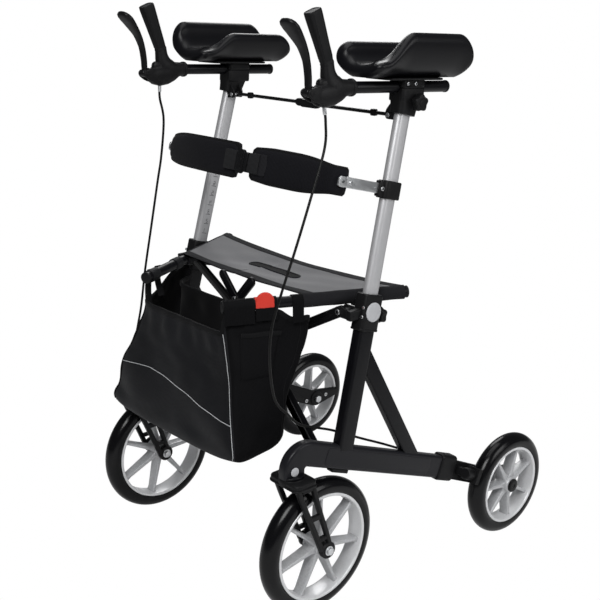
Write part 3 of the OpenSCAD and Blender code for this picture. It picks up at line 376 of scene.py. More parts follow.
# %% Mesh builder
class Build:
    """Collects surfaces in millimetres and makes one mesh object of them in metres."""

    def __init__(self):
        self.points, self.faces, self.finish, self.count = [], [], [], 0

    def grid(self, p, at=None, wrap=True, loop=False, finish=0):
        """p[i, j] is a point: i along the sweep, j round the section. wrap joins j, loop joins i."""
        p = np.asarray(p, float)
        m, n = p.shape[:2]
        at = np.eye(4) if at is None else at
        flat = p.reshape(-1, 3) @ at[:3, :3].T + at[:3, 3]
        flip = np.linalg.det(at[:3, :3]) < 0
        i, j = np.meshgrid(np.arange(m if loop else m - 1), np.arange(n if wrap else n - 1), indexing="ij")
        a, b = i * n + j, i * n + (j + 1) % n
        c, d = ((i + 1) % m) * n + (j + 1) % n, ((i + 1) % m) * n + j
        quads = np.stack([a, b, c, d], -1).reshape(-1, 4)
        if flip:
            quads = quads[:, ::-1]
        faces = (quads + self.count).tolist()
        if wrap and not loop:
            first, last = np.arange(n)[::-1] + self.count, np.arange(n) + (m - 1) * n + self.count
            faces += [x[::-1].tolist() if flip else x.tolist() for x in (first, last)]
        self.points.append(flat)
        self.faces += faces
        self.finish += [finish] * len(faces)
        self.count += m * n
        return self

    def turned(self, profile, n, at, finish=0):
        """A profile turned about local z."""
        return self.grid(lathe(profile, n), at, finish=finish)

    def block(self, w, h, r, z0, z1, fillet, at, finish=0):
        """A rounded rectangle raised from z0 to z1."""
        return self.grid(prism(corner_rect(w, h, r), z0, z1, fillet), at, finish=finish)

    def make(self, name, body, slot, materials, replaces=(), sharp=38.0):
        """The mesh object, smooth but for edges sharper than `sharp` degrees, riding a body or left free."""
        mesh = bpy.data.meshes.new(name)
        mesh.from_pydata((np.concatenate(self.points) * 0.001).tolist(), [], self.faces)
        mesh.polygons.foreach_set("material_index", self.finish)
        mesh.polygons.foreach_set("use_smooth", [True] * len(self.faces))
        mesh.update()
        mesh.set_sharp_from_angle(angle=math.radians(sharp))
        obj = bpy.data.objects.new(name, mesh)
        bpy.context.scene.collection.objects.link(obj)
        for material in materials:
            mesh.materials.append(material)
        if body:
            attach(obj, body)
        if replaces:
            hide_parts(*replaces)
        return obj

    def side(self, name, look, body, slot, materials, node, sharp=38.0):
        """make for a piece of one side, whose names hold that side's."""
        return self.make(f"{look}_look_{name}", f"{name}_{body}", slot, materials, [f"{node}_{name}"], sharp)


def both(*makers):
    """Runs each maker for the left and the right side."""
    for s, name in SIDES:
        for maker in makers:
            maker(s, name)


print("mesh builder ready")

# %% [markdown]
# ## Screws and hand knobs
# Screws hold every joint of the frame, and hand knobs clamp what the user sets. Both are turned profiles;
# the knob's lobes are a wave in its radius, which is shorter than joining five cylinders.

# %% Screws and knobs
def screw(b, at, r, h, finish, dark=None):
    """A pan-head screw, local z outwards; its hexagon socket is a flat patch on its top in the finish
    `dark`, painted shade for the recess.
    """
    b.turned(puck(r, h, min(h, r) * 0.35), 24, at, finish)
    # The socket is not cut in: a flat dark hexagon paints the shade inside it
    if dark is not None:
        b.turned([(r * 0.5, h - 0.2), (r * 0.5, h + 0.04)], 6, at, dark)


def knob(b, at, r=17, t=16):
    """Hand knob with five lobes, local z outwards."""
    profile = [(r * 0.62, 0), (r * 0.72, 1.2)] + [(x, z + 2) for x, z in puck(r, t - 2, 2.6, 5)]
    b.grid(lathe(profile, 80, 5, 0.2), at)
    b.turned(puck(r * 0.42, 1.4, 0.6), 28, moved(at, 0, 0, t - 0.4))


print("screws and knobs ready")

# %% [markdown]
# ## Shader maths
# `Socket` wraps a shader output, so that maths reads as maths: an expression adds its Math nodes. Every
# other node comes from one method of `Graph`, which takes its kind, its settings and what its inputs get.
# Nodes could be added and linked one by one, but a formula is easier to read and to change.

# %% Shader tools
class Socket:
    """A shader output; its operators take numbers and other outputs, on either side."""

    def __init__(self, graph, socket):
        self.graph, self.socket = graph, socket

    def maths(self, kind, *values):
        """A Math node on the values."""
        return self.graph.node("ShaderNodeMath", dict(enumerate(values)), operation=kind)

    def __add__(self, other):
        return self.maths("ADD", self, other)

    def __radd__(self, other):
        return self.maths("ADD", other, self)

    def __sub__(self, other):
        return self.maths("SUBTRACT", self, other)

    def __rsub__(self, other):
        return self.maths("SUBTRACT", other, self)

    def __mul__(self, other):
        return self.maths("MULTIPLY", self, other)

    def __rmul__(self, other):
        return self.maths("MULTIPLY", other, self)

    def __truediv__(self, other):
        return self.maths("DIVIDE", self, other)

    def __rtruediv__(self, other):
        return self.maths("DIVIDE", other, self)

    def sin(self):
        """The sine."""
        return self.maths("SINE", self)


class Graph:
    """A node tree to which nodes are added by one method."""

    def __init__(self, tree):
        self.nodes, self.links = tree.nodes, tree.links

    def feed(self, target, value):
        """Links a Socket to an input, or sets the input's own value."""
        if isinstance(value, Socket):
            self.links.new(value.socket, target)
        else:
            target.default_value = value

    def node(self, kind, inputs=None, out=0, **settings):
        """A new node with its settings and then its inputs' values or links; returns one of its outputs."""
        n = self.nodes.new(kind)
        for key, value in settings.items():
            setattr(n, key, value)
        for key, value in (inputs or {}).items():
            self.feed(n.inputs[key], value)
        return Socket(self, n.outputs[out])


print("shader tools ready")

# %% [markdown]
# ## A finish
# `Finish` is a material with one principled surface. Noise on Object coordinates varies its colour,
# roughness or bump, as no real surface is even. A picture would do that too, but a formula has no seam
# and stays sharp near by.

# %% Finish
class Finish(Graph):
    """A material with one principled surface, built with small helpers."""

    def __init__(self, name, colour, rough, metal=0.0, **sockets):
        self.material = bpy.data.materials.new(name)
        self.material.use_nodes = True
        super().__init__(self.material.node_tree)
        self.surface = self.nodes["Principled BSDF"]
        self.set("Base Color", (*colour, 1))
        self.set("Roughness", rough)
        self.set("Metallic", metal)
        for key, value in sockets.items():
            self.set(key.replace("_", " "), value)
        self.where = self.node("ShaderNodeTexCoord", out="Object")

    def set(self, key, value):
        """Sets or links one input of the surface."""
        self.feed(self.surface.inputs[key], value)

    def noise(self, scale, detail=2.0, rough=0.5, at=None):
        """Soft noise in 0..1."""
        inputs = {"Vector": at or self.where, "Scale": scale, "Detail": detail, "Roughness": rough}
        return self.node("ShaderNodeTexNoise", inputs)

    def axes(self):
        """Object coordinates x, y, z."""
        x = self.node("ShaderNodeSeparateXYZ", {"Vector": self.where})
        return [Socket(self, out) for out in x.socket.node.outputs]

    def blend(self, a, b, factor):
        """Mix of two colours: inputs 0, 6 and 7 are its factor and colours, output 2 its colour."""
        return self.node("ShaderNodeMix", {0: factor, 6: (*a, 1), 7: (*b, 1)}, 2, data_type="RGBA")

    def bump(self, height, strength=0.2, distance=0.0005):
        """Bump from a height in 0..1, as deep as `distance` metres."""
        inputs = {"Height": height, "Strength": strength, "Distance": distance}
        self.set("Normal", self.node("ShaderNodeBump", inputs))
        return self.material


print("finish helpers", [name for name in vars(Finish) if not name.startswith("_")])

# %% [markdown]
# ## Families of finishes
# Paint, moulded plastic, cloth and plated steel come back all over a walker, so each is one function with
# a few numbers. Paint has orange peel under a thin clear coat, plastic a fine spark-eroded grain, cloth a
# plain weave.

# %% Families
def vary(f, colour, amount, scale, rough, rough_amount):
    """Colour and roughness drift with one soft noise."""
    n = f.noise(scale, 4.0)
    dark, light = [c * (1 - amount) for c in colour], [c * (1 + amount) for c in colour]
    f.set("Base Color", f.blend(dark, light, n))
    f.set("Roughness", (n - 0.5) * (2 * rough_amount) + rough)
    return n


def paint(name, colour, coat):
    """Sprayed paint: slow drift, fine orange peel and a thin clear coat."""
    f = Finish(name, colour, 0.34, Coat_Weight=coat, Coat_Roughness=0.12, Specular_IOR_Level=0.14)
    vary(f, colour, 0.12, 14.0, 0.34, 0.05)
    return f.bump(f.noise(900.0), 0.05, 0.0002)


def moulded(name, colour, rough, grain=0.25, scale=2200.0):
    """Moulded plastic or rubber with a fine grain."""
    f = Finish(name, colour, rough, Specular_IOR_Level=0.14)
    vary(f, colour, 0.15, 22.0, rough, 0.06)
    return f.bump(f.noise(scale, 3.0), grain, 0.0002)


def fabric(name, colour, pitch, rough=0.85, depth=0.5, sheen=0.03, drift=0.25):
    """Plain weave: (sin kx + sin ky + sin kz) / 6 + 1/2 at `pitch` metres, with slow drift of colour."""
    f = Finish(name, colour, rough, Sheen_Weight=sheen, Sheen_Roughness=0.5, Specular_IOR_Level=0.08)
    x, y, z = f.axes()
    k = 2 * math.pi / pitch
    weave = ((x * k).sin() + (y * k).sin() + (z * k).sin()) / 6 + 0.5
    tone = (weave - 0.5) * 0.35 + (f.noise(9.0, 4.0) - 0.5) * (2 * drift) + 0.5
    f.set("Base Color", f.blend([c * 0.5 for c in colour], [c * 1.5 for c in colour], tone))
    return f.bump(weave, depth, 0.0004)


def steel(name, colour, rough):
    """Plated steel with faint unevenness."""
    f = Finish(name, colour, rough, 1.0)
    return f.bump(vary(f, colour, 0.1, 60.0, rough, 0.08), 0.05, 0.0002)


def silver(name, colour, flake):
    """Silver-grey moulded plastic with a metallic flake: fine noise in the colour, finer in the bump."""
    f = Finish(name, colour, 0.34, 0.15, Coat_Weight=0.15)
    vary(f, colour, flake, 260.0, 0.34, 0.05)
    return f.bump(f.noise(1500.0), 0.06, 0.0002)


BEAM_PAINT = paint("beam_anthracite", (0.009, 0.009, 0.011), 0.05)
TUBE_PAINT = paint("tube_black", (0.003, 0.003, 0.004), 0.03)
PLASTIC = moulded("plastic_black", (0.006, 0.006, 0.0065), 0.45)
PLASTIC_SMOOTH = moulded("plastic_black_smooth", (0.005, 0.005, 0.0055), 0.33, 0.1)
GREY_CAP = moulded("plastic_grey", (0.42, 0.425, 0.44), 0.4, 0.08)
RED = moulded("plastic_red", (0.5, 0.037, 0.025), 0.4, 0.1)
GRIP = moulded("grip_rubber", (0.006, 0.006, 0.0065), 0.55, 0.4, 1400.0)
CABLE = moulded("cable_sheath", (0.005, 0.005, 0.005), 0.35, 0.05)
# Black for the mast's printed scale and, as painted shade, for the floor of the seat's slot
PRINT_AND_SHADE_BLACK = moulded("print_and_painted_shade_black", (0.003, 0.003, 0.003), 0.8, 0.05)
NYLON = fabric("bag_nylon", (0.0085, 0.0087, 0.01), 0.0016, 0.5, 0.5, 0.02, 0.4)
# A darker copy of the front's nylon: painted shade that keeps the side panels darker than the lit front
SHADED_SIDE_CLOTH = fabric("bag_side_cloth_painted_shade", (0.0025, 0.0025, 0.003), 0.0022, 0.8, 0.5, 0.0)
LINING = fabric("bag_lining", (0.004, 0.004, 0.0045), 0.002, 0.85, 0.4)
KNIT = fabric("strap_knit", (0.005, 0.005, 0.0065), 0.0024, 0.8, 0.6, 0.02)
BINDING = fabric("strap_binding", (0.004, 0.004, 0.0045), 0.0018, 0.7, 0.5)
WEBBING = fabric("webbing_grey", (0.011, 0.0112, 0.012), 0.003, 0.75, 0.7)
HEM = fabric("seat_hem", (0.010, 0.010, 0.0115), 0.002, 0.8, 0.5)
PIPING = fabric("piping_silver", (0.42, 0.43, 0.44), 0.002, 0.5, 0.3)
STEEL = steel("steel_zinc", (0.6, 0.61, 0.62), 0.3)
RIM = silver("rim_silver", (0.6, 0.605, 0.615), 0.1)
SPOKE = silver("spoke_grey", (0.4, 0.405, 0.415), 0.3)
print("families of finishes", len(bpy.data.materials))

# %% [markdown]
# ## Single finishes
# Four surfaces have a texture of their own: the glossy tyres, the drawn and anodised masts, the foam skin
# of the pads and the open net of the seat. The net could be cut out with alpha; dark holes in the colour
# keep it quick.

# %% Tyre, mast, pad and net
def rubber_tyre():
    """Tyre rubber: glossy black with slow drift of tone and gloss."""
    colour = (0.0025, 0.0025, 0.003)
    f = Finish("tyre_rubber", colour, 0.2, Specular_IOR_Level=0.2)
    n = vary(f, colour, 0.25, 30.0, 0.2, 0.06)
    return f.bump(f.noise(700.0, 3.0) + n, 0.15, 0.0003)


def anodised():
    """Clear anodised tube: drawn lines along the mast as noise stretched along z."""
    f = Finish("mast_anodised", (0.43, 0.43, 0.44), 0.46, 0.5)
    along = f.node("ShaderNodeMapping", {"Vector": f.where, "Scale": (900.0, 900.0, 12.0)})
    lines = f.noise(1.0, 3.0, 0.6, along)
    f.set("Base Color", f.blend((0.38, 0.38, 0.39), (0.48, 0.48, 0.49), lines))
    f.set("Roughness", lines * 0.14 + 0.4)
    return f.material


def pad_skin():
    """Integral-foam skin: soft sheen, a fine leather grain and slow gloss drift."""
    colour = (0.003, 0.003, 0.004)
    f = Finish("pad_skin", colour, 0.36, Specular_IOR_Level=0.15, Coat_Weight=0.03, Coat_Roughness=0.3)
    vary(f, colour, 0.15, 12.0, 0.36, 0.06)
    cells = f.node("ShaderNodeTexVoronoi", {"Vector": f.where, "Scale": 900.0})
    return f.bump(cells + f.noise(400.0, 3.0) * 0.5, 0.03, 0.0001)


def seat_mesh():
    """Open net: dark holes where sin(k(x + y/2)) sin(ky) / 2 + 1/2 is low, 3.4 mm apart."""
    f = Finish("seat_mesh", (0.15, 0.15, 0.16), 0.75, Sheen_Weight=0.2)
    x, y, _ = f.axes()
    k = 2 * math.pi / 0.0034
    hole = (((x + y * 0.5) * k).sin() * (y * k).sin()) * 0.5 + 0.5
    tone = hole * 0.75 + (f.noise(7.0, 4.0) - 0.5) * 0.5
    f.set("Base Color", f.blend((0.027, 0.027, 0.031), (0.12, 0.122, 0.131), tone))
    return f.bump(hole, 0.6, 0.0005)


TYRE, MAST, PAD, NET = rubber_tyre(), anodised(), pad_skin(), seat_mesh()
print("finishes", len(bpy.data.materials))

# %% [markdown]
# ## Tyres
# A soft outdoor tyre is a ring of rubber with a round crown and a narrow foot in the rim. A torus would
# lack the foot, so it is one profile turned about the axle; a shallow groove on each shoulder catches the
# light where the mould parted.

# %% Tyres
SPIN = {("front", 1): 24.0, ("front", -1): 38.0, ("rear", 1): 6.0, ("rear", -1): 20.0}
CROWN_R, CROWN_REACH, SHOULDER = TYRE_W / 2, 112, 62


def wheel_place(kind, s):
    """Radius and place of a wheel, local z along the axle."""
    if kind == "front":
        return FRONT_R, MIRROR[s] @ place((CASTER_X, CASTER_Y + TRAIL, FRONT_R), AXLE)
    return REAR_R, MIRROR[s] @ place((REAR_X, REAR_Y, REAR_R), AXLE)


def tyre(kind, s, name):
    """Crown as an arc of a circle, less 0.5 exp(-((|a| - 62) / 4)^2) at its shoulders, and a flat foot."""
    r, at = wheel_place(kind, s)
    angle = np.linspace(-CROWN_REACH, CROWN_REACH, 45)
    groove = 0.5 * np.exp(-((np.abs(angle) - SHOULDER) / 4.0) ** 2)
    a = np.radians(angle)
    crown = np.column_stack([r - CROWN_R + CROWN_R * np.cos(a) - groove, CROWN_R * np.sin(a)])
    profile = np.vstack([crown, [(r - 33.5, 9.0), (r - 33.5, -9.0)]])
    b = Build().grid(lathe(profile, 128), at, loop=True)
    b.side(name, f"{kind}_tyre", f"{kind}_wheel", "tyre", [TYRE], f"{kind}_tyre", 50)


for s, name in SIDES:
    for kind in ("front", "rear"):
        tyre(kind, s, name)
print("tyres made")

# %% [markdown]
# ## Rims
# The rim is moulded in one piece with seven blade spokes. The band is turned, and each blade is a row of
# rounded rectangles from hub to band that flare at both ends as a moulding does. The blades are a little
# darker, since less of the light reaches them.

# %% Rims
SPOKES = 7
HUB = [(10, -22), (17, -21.6), (19, -20), (19.4, -12), (20.5, 0), (19.4, 12), (19, 20), (17.6, 21.6),
       (14, 22), (10, 22)]
# Half section of the band: depth below the tyre's seat and distance from the wheel's middle plane
BAND = [(8.6, 8.8), (4.4, 16.8), (2.9, 18.7), (3.4, 19.6), (4.2, 19.8), (7.8, 19.8), (8.8, 19.0), (9.3, 17),
        (9.8, 12), (10.2, 4)]


def blade(tip_r):
    """Spoke along local x: width 11 to 6.4 and depth 27 to 23, with a square-law flare at root and tip."""
    rows = []
    for t in np.linspace(0, 1, 9):
        root = 3 * max(0, 1 - t / 0.18) ** 2
        tip = 2.5 * max(0, (t - 0.85) / 0.15) ** 2
        section = corner_rect(mix(11, 6.4, t) + 2 * root + 2 * tip, mix(27, 23, t) + root, 2.4, 3)
        rows.append(np.column_stack([np.full(len(section), mix(15, tip_r, t)), section]))
    return np.array(rows)


def rim(kind, s, name):
    """Band, spokes and hub of one wheel."""
    r, at = wheel_place(kind, s)
    seat = r - 25
    half = np.array([(seat - depth, z) for depth, z in BAND])
    b = Build().grid(lathe(np.vstack([half, half[::-1] * [1, -1]]), 128), at, loop=True)
    for i in range(SPOKES):
        b.grid(blade(seat - 8.5), at @ place(rotation=turn(rz=SPIN[kind, s] + 360 * i / SPOKES)), finish=1)
    b.turned(HUB, 48, at, 1)
    b.side(name, f"{kind}_rim", f"{kind}_wheel", "rim_plastic", [RIM, SPOKE], f"{kind}_rim", 40)


for s, name in SIDES:
    for kind in ("front", "rear"):
        rim(kind, s, name)
print("rims made, spokes each", SPOKES)

# %% [markdown]
# ## Beams
# Each side stands on one rectangular tube that comes up from the caster head, bends round an elbow and
# falls to the rear wheel. It is one section swept along the bend; two blocks with a joint would show a
# seam there. The lugs on its inner side carry the fold strut.

# %% Beams
def beam_path():
    """Head, an arc of radius BEND over the elbow, then the straight fall, in the beam's plane."""
    elbow = arc(BEND, 180, 90 - FALL, 15) + [BEND, ELBOW_Z]
    fall = BEAM_L * np.array([[0.1], [0.3], [0.6], [1.0]])
    line = np.vstack([(0, HEAD_Z), elbow, [BEAM_U0, BEAM_Z0] + fall * [FALL_COS, -FALL_SIN]])
    return np.column_stack([line, np.zeros(len(line))])


def lug_pair(b, m, pivot, ear, gap, half, head, pin, finish=(0, 1)):
    """Two ears `gap` before and behind a pivot, screw heads outside them and the pin between.

    ear is its outline, corner radius and edge fillet; pin is its radius, half length and number of sides.
    """
    x, y, z = pivot
    outline, radius, fillet = ear
    for e in (-1, 1):
        at = m @ place((x, y + e * gap, z), AHEAD)
        b.grid(prism(round_poly(outline, radius), -half, half, fillet), at, finish=finish[0])
        screw(b, m @ place((x, y + e * (gap + half), z), rearward(e)), *head)
    r, reach, sides = pin
    b.turned([(r, -reach), (r, reach)], sides, m @ place(pivot, AHEAD), finish[1])


def beam(s, name):
    """Beam with its head ring, two raised side panels and the strut's lugs."""
    m = MIRROR[s]
    b = Build().grid(sweep(beam_path(), corner_rect(BEAM_H, BEAM_W, 6)), m @ BEAM)
    b.turned(puck(24.2, 5, 1.5), 48, m @ place((CASTER_X, CASTER_Y, HEAD_Z)), 1)
    for side in (12.0, -12.8):
        b.block(300, 35, 7, 0, 0.8, 0.5, moved(m @ on_beam(UP_AT + 88), 0, 0, side))
    ear = ([(-11, -11), (38, -11), (38, 11), (-11, 11)], 10, 1.2)
    lug_pair(b, m, STRUT_FOOT, ear, 11.5, 3, (6.5, 3, 2, 1), (5, 14, 24), (1, 2))
    b.side(name, "beam", "frame", "frame_paint", [BEAM_PAINT, TUBE_PAINT, STEEL], "lower_beam")


both(beam)
print("beams made")

# %% [markdown]
# ## Uprights, braces and collars
# The upright is a hollow tube in which the mast slides, with a brace behind it. The collar is a casting
# over its top: it clamps the mast with a knob at the rear and carries the fold link on ears. The tubes
# are drawn hollow, because the open top shows round the mast.

# %% Uprights, braces, collars
MAST_W, MAST_D = 20, 34
MAST_HOLE = corner_rect(MAST_W + 1, MAST_D + 1, 10.4)
COLLAR_W, COLLAR_D, COLLAR_LOW = 33, 48, UP_LEN - COLLAR_H
BRACE_TOP, BRACE_FOOT = 190, 312


def upright(s, name):
    """The upright tube and the brace from it to the beam."""
    m = MIRROR[s]
    b = Build().grid(hollow(corner_rect(25, 40, 6), MAST_HOLE, -10, 292, 0.5), m @ on_up(0))
    b.side(name, "upright", "frame", "tube_paint", [TUBE_PAINT], "upright_tube")
    top, foot = up_at(BRACE_TOP), beam_at(BRACE_FOOT, beam_z(BRACE_FOOT) + 14)
    b = Build().grid(rounded_ends([top, foot], corner_rect(32, 20, 4), 0.5, (1, 0, 0)), m)
    b.side(name, "brace", "frame", "tube_paint", [TUBE_PAINT], "rear_brace")


def collar(s, name):
    """Rounded block with a lip, knob boss, link ears on a bar, and two rivets in front."""
    m = MIRROR[s]
    shell = hollow(corner_rect(COLLAR_W, COLLAR_D, 8), MAST_HOLE, COLLAR_LOW, UP_LEN, 3)
    b = Build().grid(shell, m @ on_up(0))
    b.block(COLLAR_W + 1.4, COLLAR_D + 1.4, 8.6, COLLAR_LOW - 1.5, COLLAR_LOW + 3, 1.2, m @ on_up(0))
    b.turned(puck(11, 8, 2), 32, m @ on_up(HEIGHT_KNOB_AT) @ place((0, 20, 0), rearward(1)))
    ear = ([(-10, -10), (40, -10), (40, 10), (-10, 10)], 9, 1)
    lug_pair(b, m, LINK_HEAD, ear, 11.25, 2.5, (6, 2.6, 1, 0), (5, 13, 24))
    x, y, z = LINK_HEAD
    b.block(14, 20, 3, -18, 38, 2, m @ place((x + 33, y, z), rearward(1)))
    for rise in (-14, 4):
        screw(b, m @ on_up(UP_LEN - 30 + rise) @ place((12, -24, 0), AHEAD), 3.4, 1.8, 1)
    b.side(name, "collar", "frame", "black_plastic", [PLASTIC, STEEL], "height_collar")


def plugs(s, name):
    """Round cap on the collar, plug on the elbow and foot pad under the beam; then the height knob."""
    m = MIRROR[s]
    b = Build()
    cap = [(19, 0), (19, 1.6), (18.2, 2.6), (16.5, 3), (14, 3.1), (6, 3.2)]
    b.turned(cap, 56, m @ on_up(UP_LEN - COLLAR_H / 2 + 2) @ place((16.5, 0, 0), AXLE))
    b.turned(puck(9, 2.4, 1.1), 40, m @ BEAM @ place((-2, ELBOW_Z + 4, 12)))
    b.block(44, 18, 3, 0, 7.5, 1.5, m @ on_beam(UP_AT - 4) @ place((0, -24, 0), AHEAD), 1)
    b.side(name, "plugs", "frame", "grey_plastic", [GREY_CAP, PLASTIC], "frame_plugs")
    b = Build()
    knob(b, m @ on_up(HEIGHT_KNOB_AT) @ place((0, 27, 0), rearward(1)))
    b.side(name, "height_knob", "height_knob", "black_plastic", [PLASTIC], "height_knob")


both(upright, collar, plugs)
print("uprights, braces, collars and plugs made")

# %% [markdown]
# ## Seat rails
# The seat and the bag hang on two round tubes that spread towards the rear, each held to its collar by a
# block. A plain cylinder would show hard rims at its ends, so each is a rod with rounded ends and turned
# caps.

# %% Rails
def rail(s, name):
    """Seat rail with its end caps and the block that holds it to the collar."""
    m = MIRROR[s]
    b = Build().grid(tube([RAIL_A + RAIL_DIR * 2, RAIL_B - RAIL_DIR * 2], RAIL_R, 32, 0.5), m)
    for end, d in ((RAIL_A, -RAIL_DIR), (RAIL_B, RAIL_DIR)):
        b.turned([(11.6, -5), (12, -3), (12, -1), (10.6, 0), (6, 0.4)], 32, m @ facing(end, d), 1)
    x, y, _ = up_at((RAIL_Z - UP_FOOT[2]) / UP_TURN[2, 2])
    inner, outer = rail_x(y) - 2, x - 13
    b.block(outer - inner, 28, 3, -16, 0, 2, m @ place(((outer + inner) / 2, y, RAIL_Z)), 1)
    b.side(name, "rail", "frame", "tube_paint", [TUBE_PAINT, PLASTIC], "seat_rail")


both(rail)
print("rails made")

# %% [markdown]
# ## Brake housings and rear axles
# A plastic sleeve closes the beam's end and runs on as an arm to the rear axle, with a tail behind to
# step on at a kerb. The brake shoe slides in a socket above the tyre, and the cable ends in a stop on the
# arm. The arm could be bent out of a box; one raised outline gives its curves with fewer faces.

# %% Housings and axles
SHOE_TILT = -26
CABLE_END, CABLE_RUN = (281.0, 72, 229), (4.0, 32, -16)


def housing(s, name):
    """Sleeve, arm as a rounded polygon, its raised panel, axle boss, shoe socket and cable stop."""
    m = MIRROR[s]
    b = Build()
    sleeve = [(-34, 0, 0), (-8, 0, 0), (12, 0, 0)]
    b.grid(rounded_ends(sleeve, corner_rect(57, 32, 8), 4), m @ on_beam(BEAM_END_U))
    y, z = BEAM_END[1] - 8, BEAM_END[2]
    rear = [(-6, -22), (18, -20), (84, -8), (84, 8), (18, 20), (-6, 22)]
    outline = [(y, z + 25), (y, z - 23)] + [(REAR_Y + u, REAR_R + v) for u, v in rear]
    side = m @ place((PLATE_X - 13, 0, 0), SIDE_ON)
    b.grid(prism(round_poly(outline, 9), 0, 13, 2.5), side)
    panel = [(y + 26, z + 12), (y + 26, z - 12), (REAR_Y - 44, REAR_R - 4), (REAR_Y - 44, REAR_R + 12)]
    b.grid(prism(round_poly(panel, 8), -1.2, 0.5, 0.8), side)
    b.turned(puck(20, 4, 1.5), 40, moved(side, REAR_Y, REAR_R, -3))
    for u in (-36, 34):
        screw(b, side @ place((REAR_Y + u, REAR_R + 2, 0), turn(180)), 5, 2, 1, 0)
    shoe = m @ place((REAR_X, REAR_Y, REAR_R), turn(SHOE_TILT))
    b.block(44, 18, 5, 132.5, 157.5, 2, shoe @ place((-15, 0, 0), AHEAD))
    socket = [(12, 132), (13, 134), (13, 156), (11, 158), (7.5, 158)]
    b.turned(socket, 32, shoe @ place(rotation=AHEAD))
    stop = m @ facing(CABLE_END, CABLE_RUN)
    b.turned([(4, -6), (4.4, -2), (5.5, 0), (5.5, 18)], 24, stop)
    b.turned([(3.2, -14), (3.4, -6)], 20, stop, 1)
    b.side(name, "housing", "frame", "black_plastic", [PLASTIC, STEEL], "brake_housing")


def axle(s, name):
    """Hexagon head, spacer and hub cap on the rear axle."""
    at = MIRROR[s] @ place((0, REAR_Y, REAR_R), AXLE)
    b = Build().turned(puck(10, 7, 1.2), 6, moved(at, 0, 0, PLATE_X - 24))
    b.turned([(11, 0), (11, 2.4)], 32, moved(at, 0, 0, PLATE_X + 0.2))
    cap = [(15, 0), (15, 3), (13.5, 4.3), (10, 4.8), (5, 4.6), (4, 3.4)]
    b.turned(cap, 40, moved(at, 0, 0, REAR_X + 22.4), 1)
    b.side(name, "axle", "frame", "steel", [STEEL, PLASTIC_SMOOTH], "rear_axle")


both(housing, axle)
print("housings and axles made")

# %% [markdown]
# ## Caster forks
# The fork is moulded open, like a ladder: two rails on each side with rungs between them, under one crown
# plate. The rails are swept along smooth curves, because a plate with holes would lack their rounded
# edges.

# %% Forks
FORK_X, CROWN_Y = 30.5, -60.5
# y and z along each rail of a leg, and its width
LEG_RAILS = (([(-77, 158), (-62, 118), (-46, 80), (-30, 42), (-15, 4)], 10.5),
             ([(-40, 158), (-29, 118), (-17, 80), (-4, 42), (6, 8)], 9.5))
# First and last y, height and width of each rung
RUNGS = ((-66, -34, 150, 14), (-50, -14, 81, 11), (-26, 2, 30, 9))


def fork(s, name):
    """Crown plate, legs of two rails with rungs between them, bosses and the axle bolt."""
    at = MIRROR[s] @ place((CASTER_X, CASTER_Y + TRAIL, FRONT_R))
    b = Build()
    b.turned([(25, 0), (25.6, 3), (25.6, 10), (24, 12.6), (10, 13)], 56, moved(at, 0, -TRAIL, 156.5))
    b.block(83, 54, 12, 156, 167.4, 3.5, moved(at, 0, CROWN_Y, 0))
    b.block(87, 58, 14, 154.5, 158.5, 1.6, moved(at, 0, CROWN_Y, 0))
    for e in (-1, 1):
        x = e * FORK_X
        for line, w in LEG_RAILS:
            path = curve([(x, y, z) for y, z in line], 12)
            b.grid(rounded_ends(path, corner_rect(w, 11, 3), 1.5, (1, 0, 0)), at)
        for y0, y1, z, h in RUNGS:
            b.grid(rounded_ends([(x, y0, z), (x, y1, z)], corner_rect(h, 8.4, 2), 0.5, (1, 0, 0)), at)
        boss = [(17, -5.5), (17.6, -4), (17.6, 4), (16.4, 5.6), (12, 5.8)]
        b.turned(boss, 40, at @ place((x, 0, 0), outward(e)))
        screw(b, at @ place((e * 36.4, 0, 0), outward(e)), 10, 1.4, 1)
        b.turned(puck(8, 5, 0.8), 6, at @ place((e * 37.6, 0, 0), outward(e)), 1)
        b.turned([(9, 22.4), (9, 26)], 28, at @ place(rotation=outward(e)), 1)
    b.side(name, "fork", "caster", "black_plastic", [PLASTIC, STEEL], "caster_fork")


both(fork)
print("forks made")

# %% [markdown]
# ## Masts and strap arms
# The mast is an oval aluminium tube with a printed scale on its inner face, to set both sides alike. The
# scale is thin raised bars, since print in the material would need a picture. A steel bar clamped to the
# mast reaches forward to the back strap.

# %% Masts and strap arms
# Bars of a seven-bar numeral 4 mm wide: x, y, width, height
BARS = {"t": (0, 4, 4, 0.9), "m": (0, 0, 4, 0.9), "b": (0, -4, 4, 0.9), "p": (-2, 2, 0.9, 4),
        "q": (2, 2, 0.9, 4), "u": (-2, -2, 0.9, 4), "v": (2, -2, 0.9, 4)}
# Bars lit in the numerals 1 to 8
NUMERALS = ("qv", "tqmub", "tqmvb", "pqmv", "tpmvb", "tpmubv", "tqv", "tmbpquv")
# Local x runs forward, y up and z inwards
FACE_IN = np.array([[0.0, 0, -1], [-1, 0, 0], [0, 1, 0]])
MAST_FOOT, SCALE_LOW, SCALE_STEP = 126, 318, 22


def printed(b, at, w, h, r):
    """A bar of print, 0.25 mm high."""
    b.grid(prism(corner_rect(w, h, r, 2), 0, 0.25, 0.1, 1), at, finish=1)


def mast(s, name):
    """Oval height tube with its scale."""
    m = MIRROR[s]
    b = Build().grid(prism(corner_rect(MAST_W, MAST_D, 9.9), MAST_FOOT, MAST_TOP, 0.8), m @ on_up(0))
    for i, numeral in enumerate(NUMERALS):
        at = m @ on_up(SCALE_LOW + SCALE_STEP * i) @ place((0.1 - MAST_W / 2, 0, 0), FACE_IN)
        printed(b, at, 13, 1.0, 0.3)
        for x, y, w, h in (BARS[c] for c in numeral):
            printed(b, moved(at, x, y + 6.5, 0), w, h, 0.25)
    b.side(name, "mast", "mast", "mast_aluminium", [MAST, PRINT_AND_SHADE_BLACK], "mast")


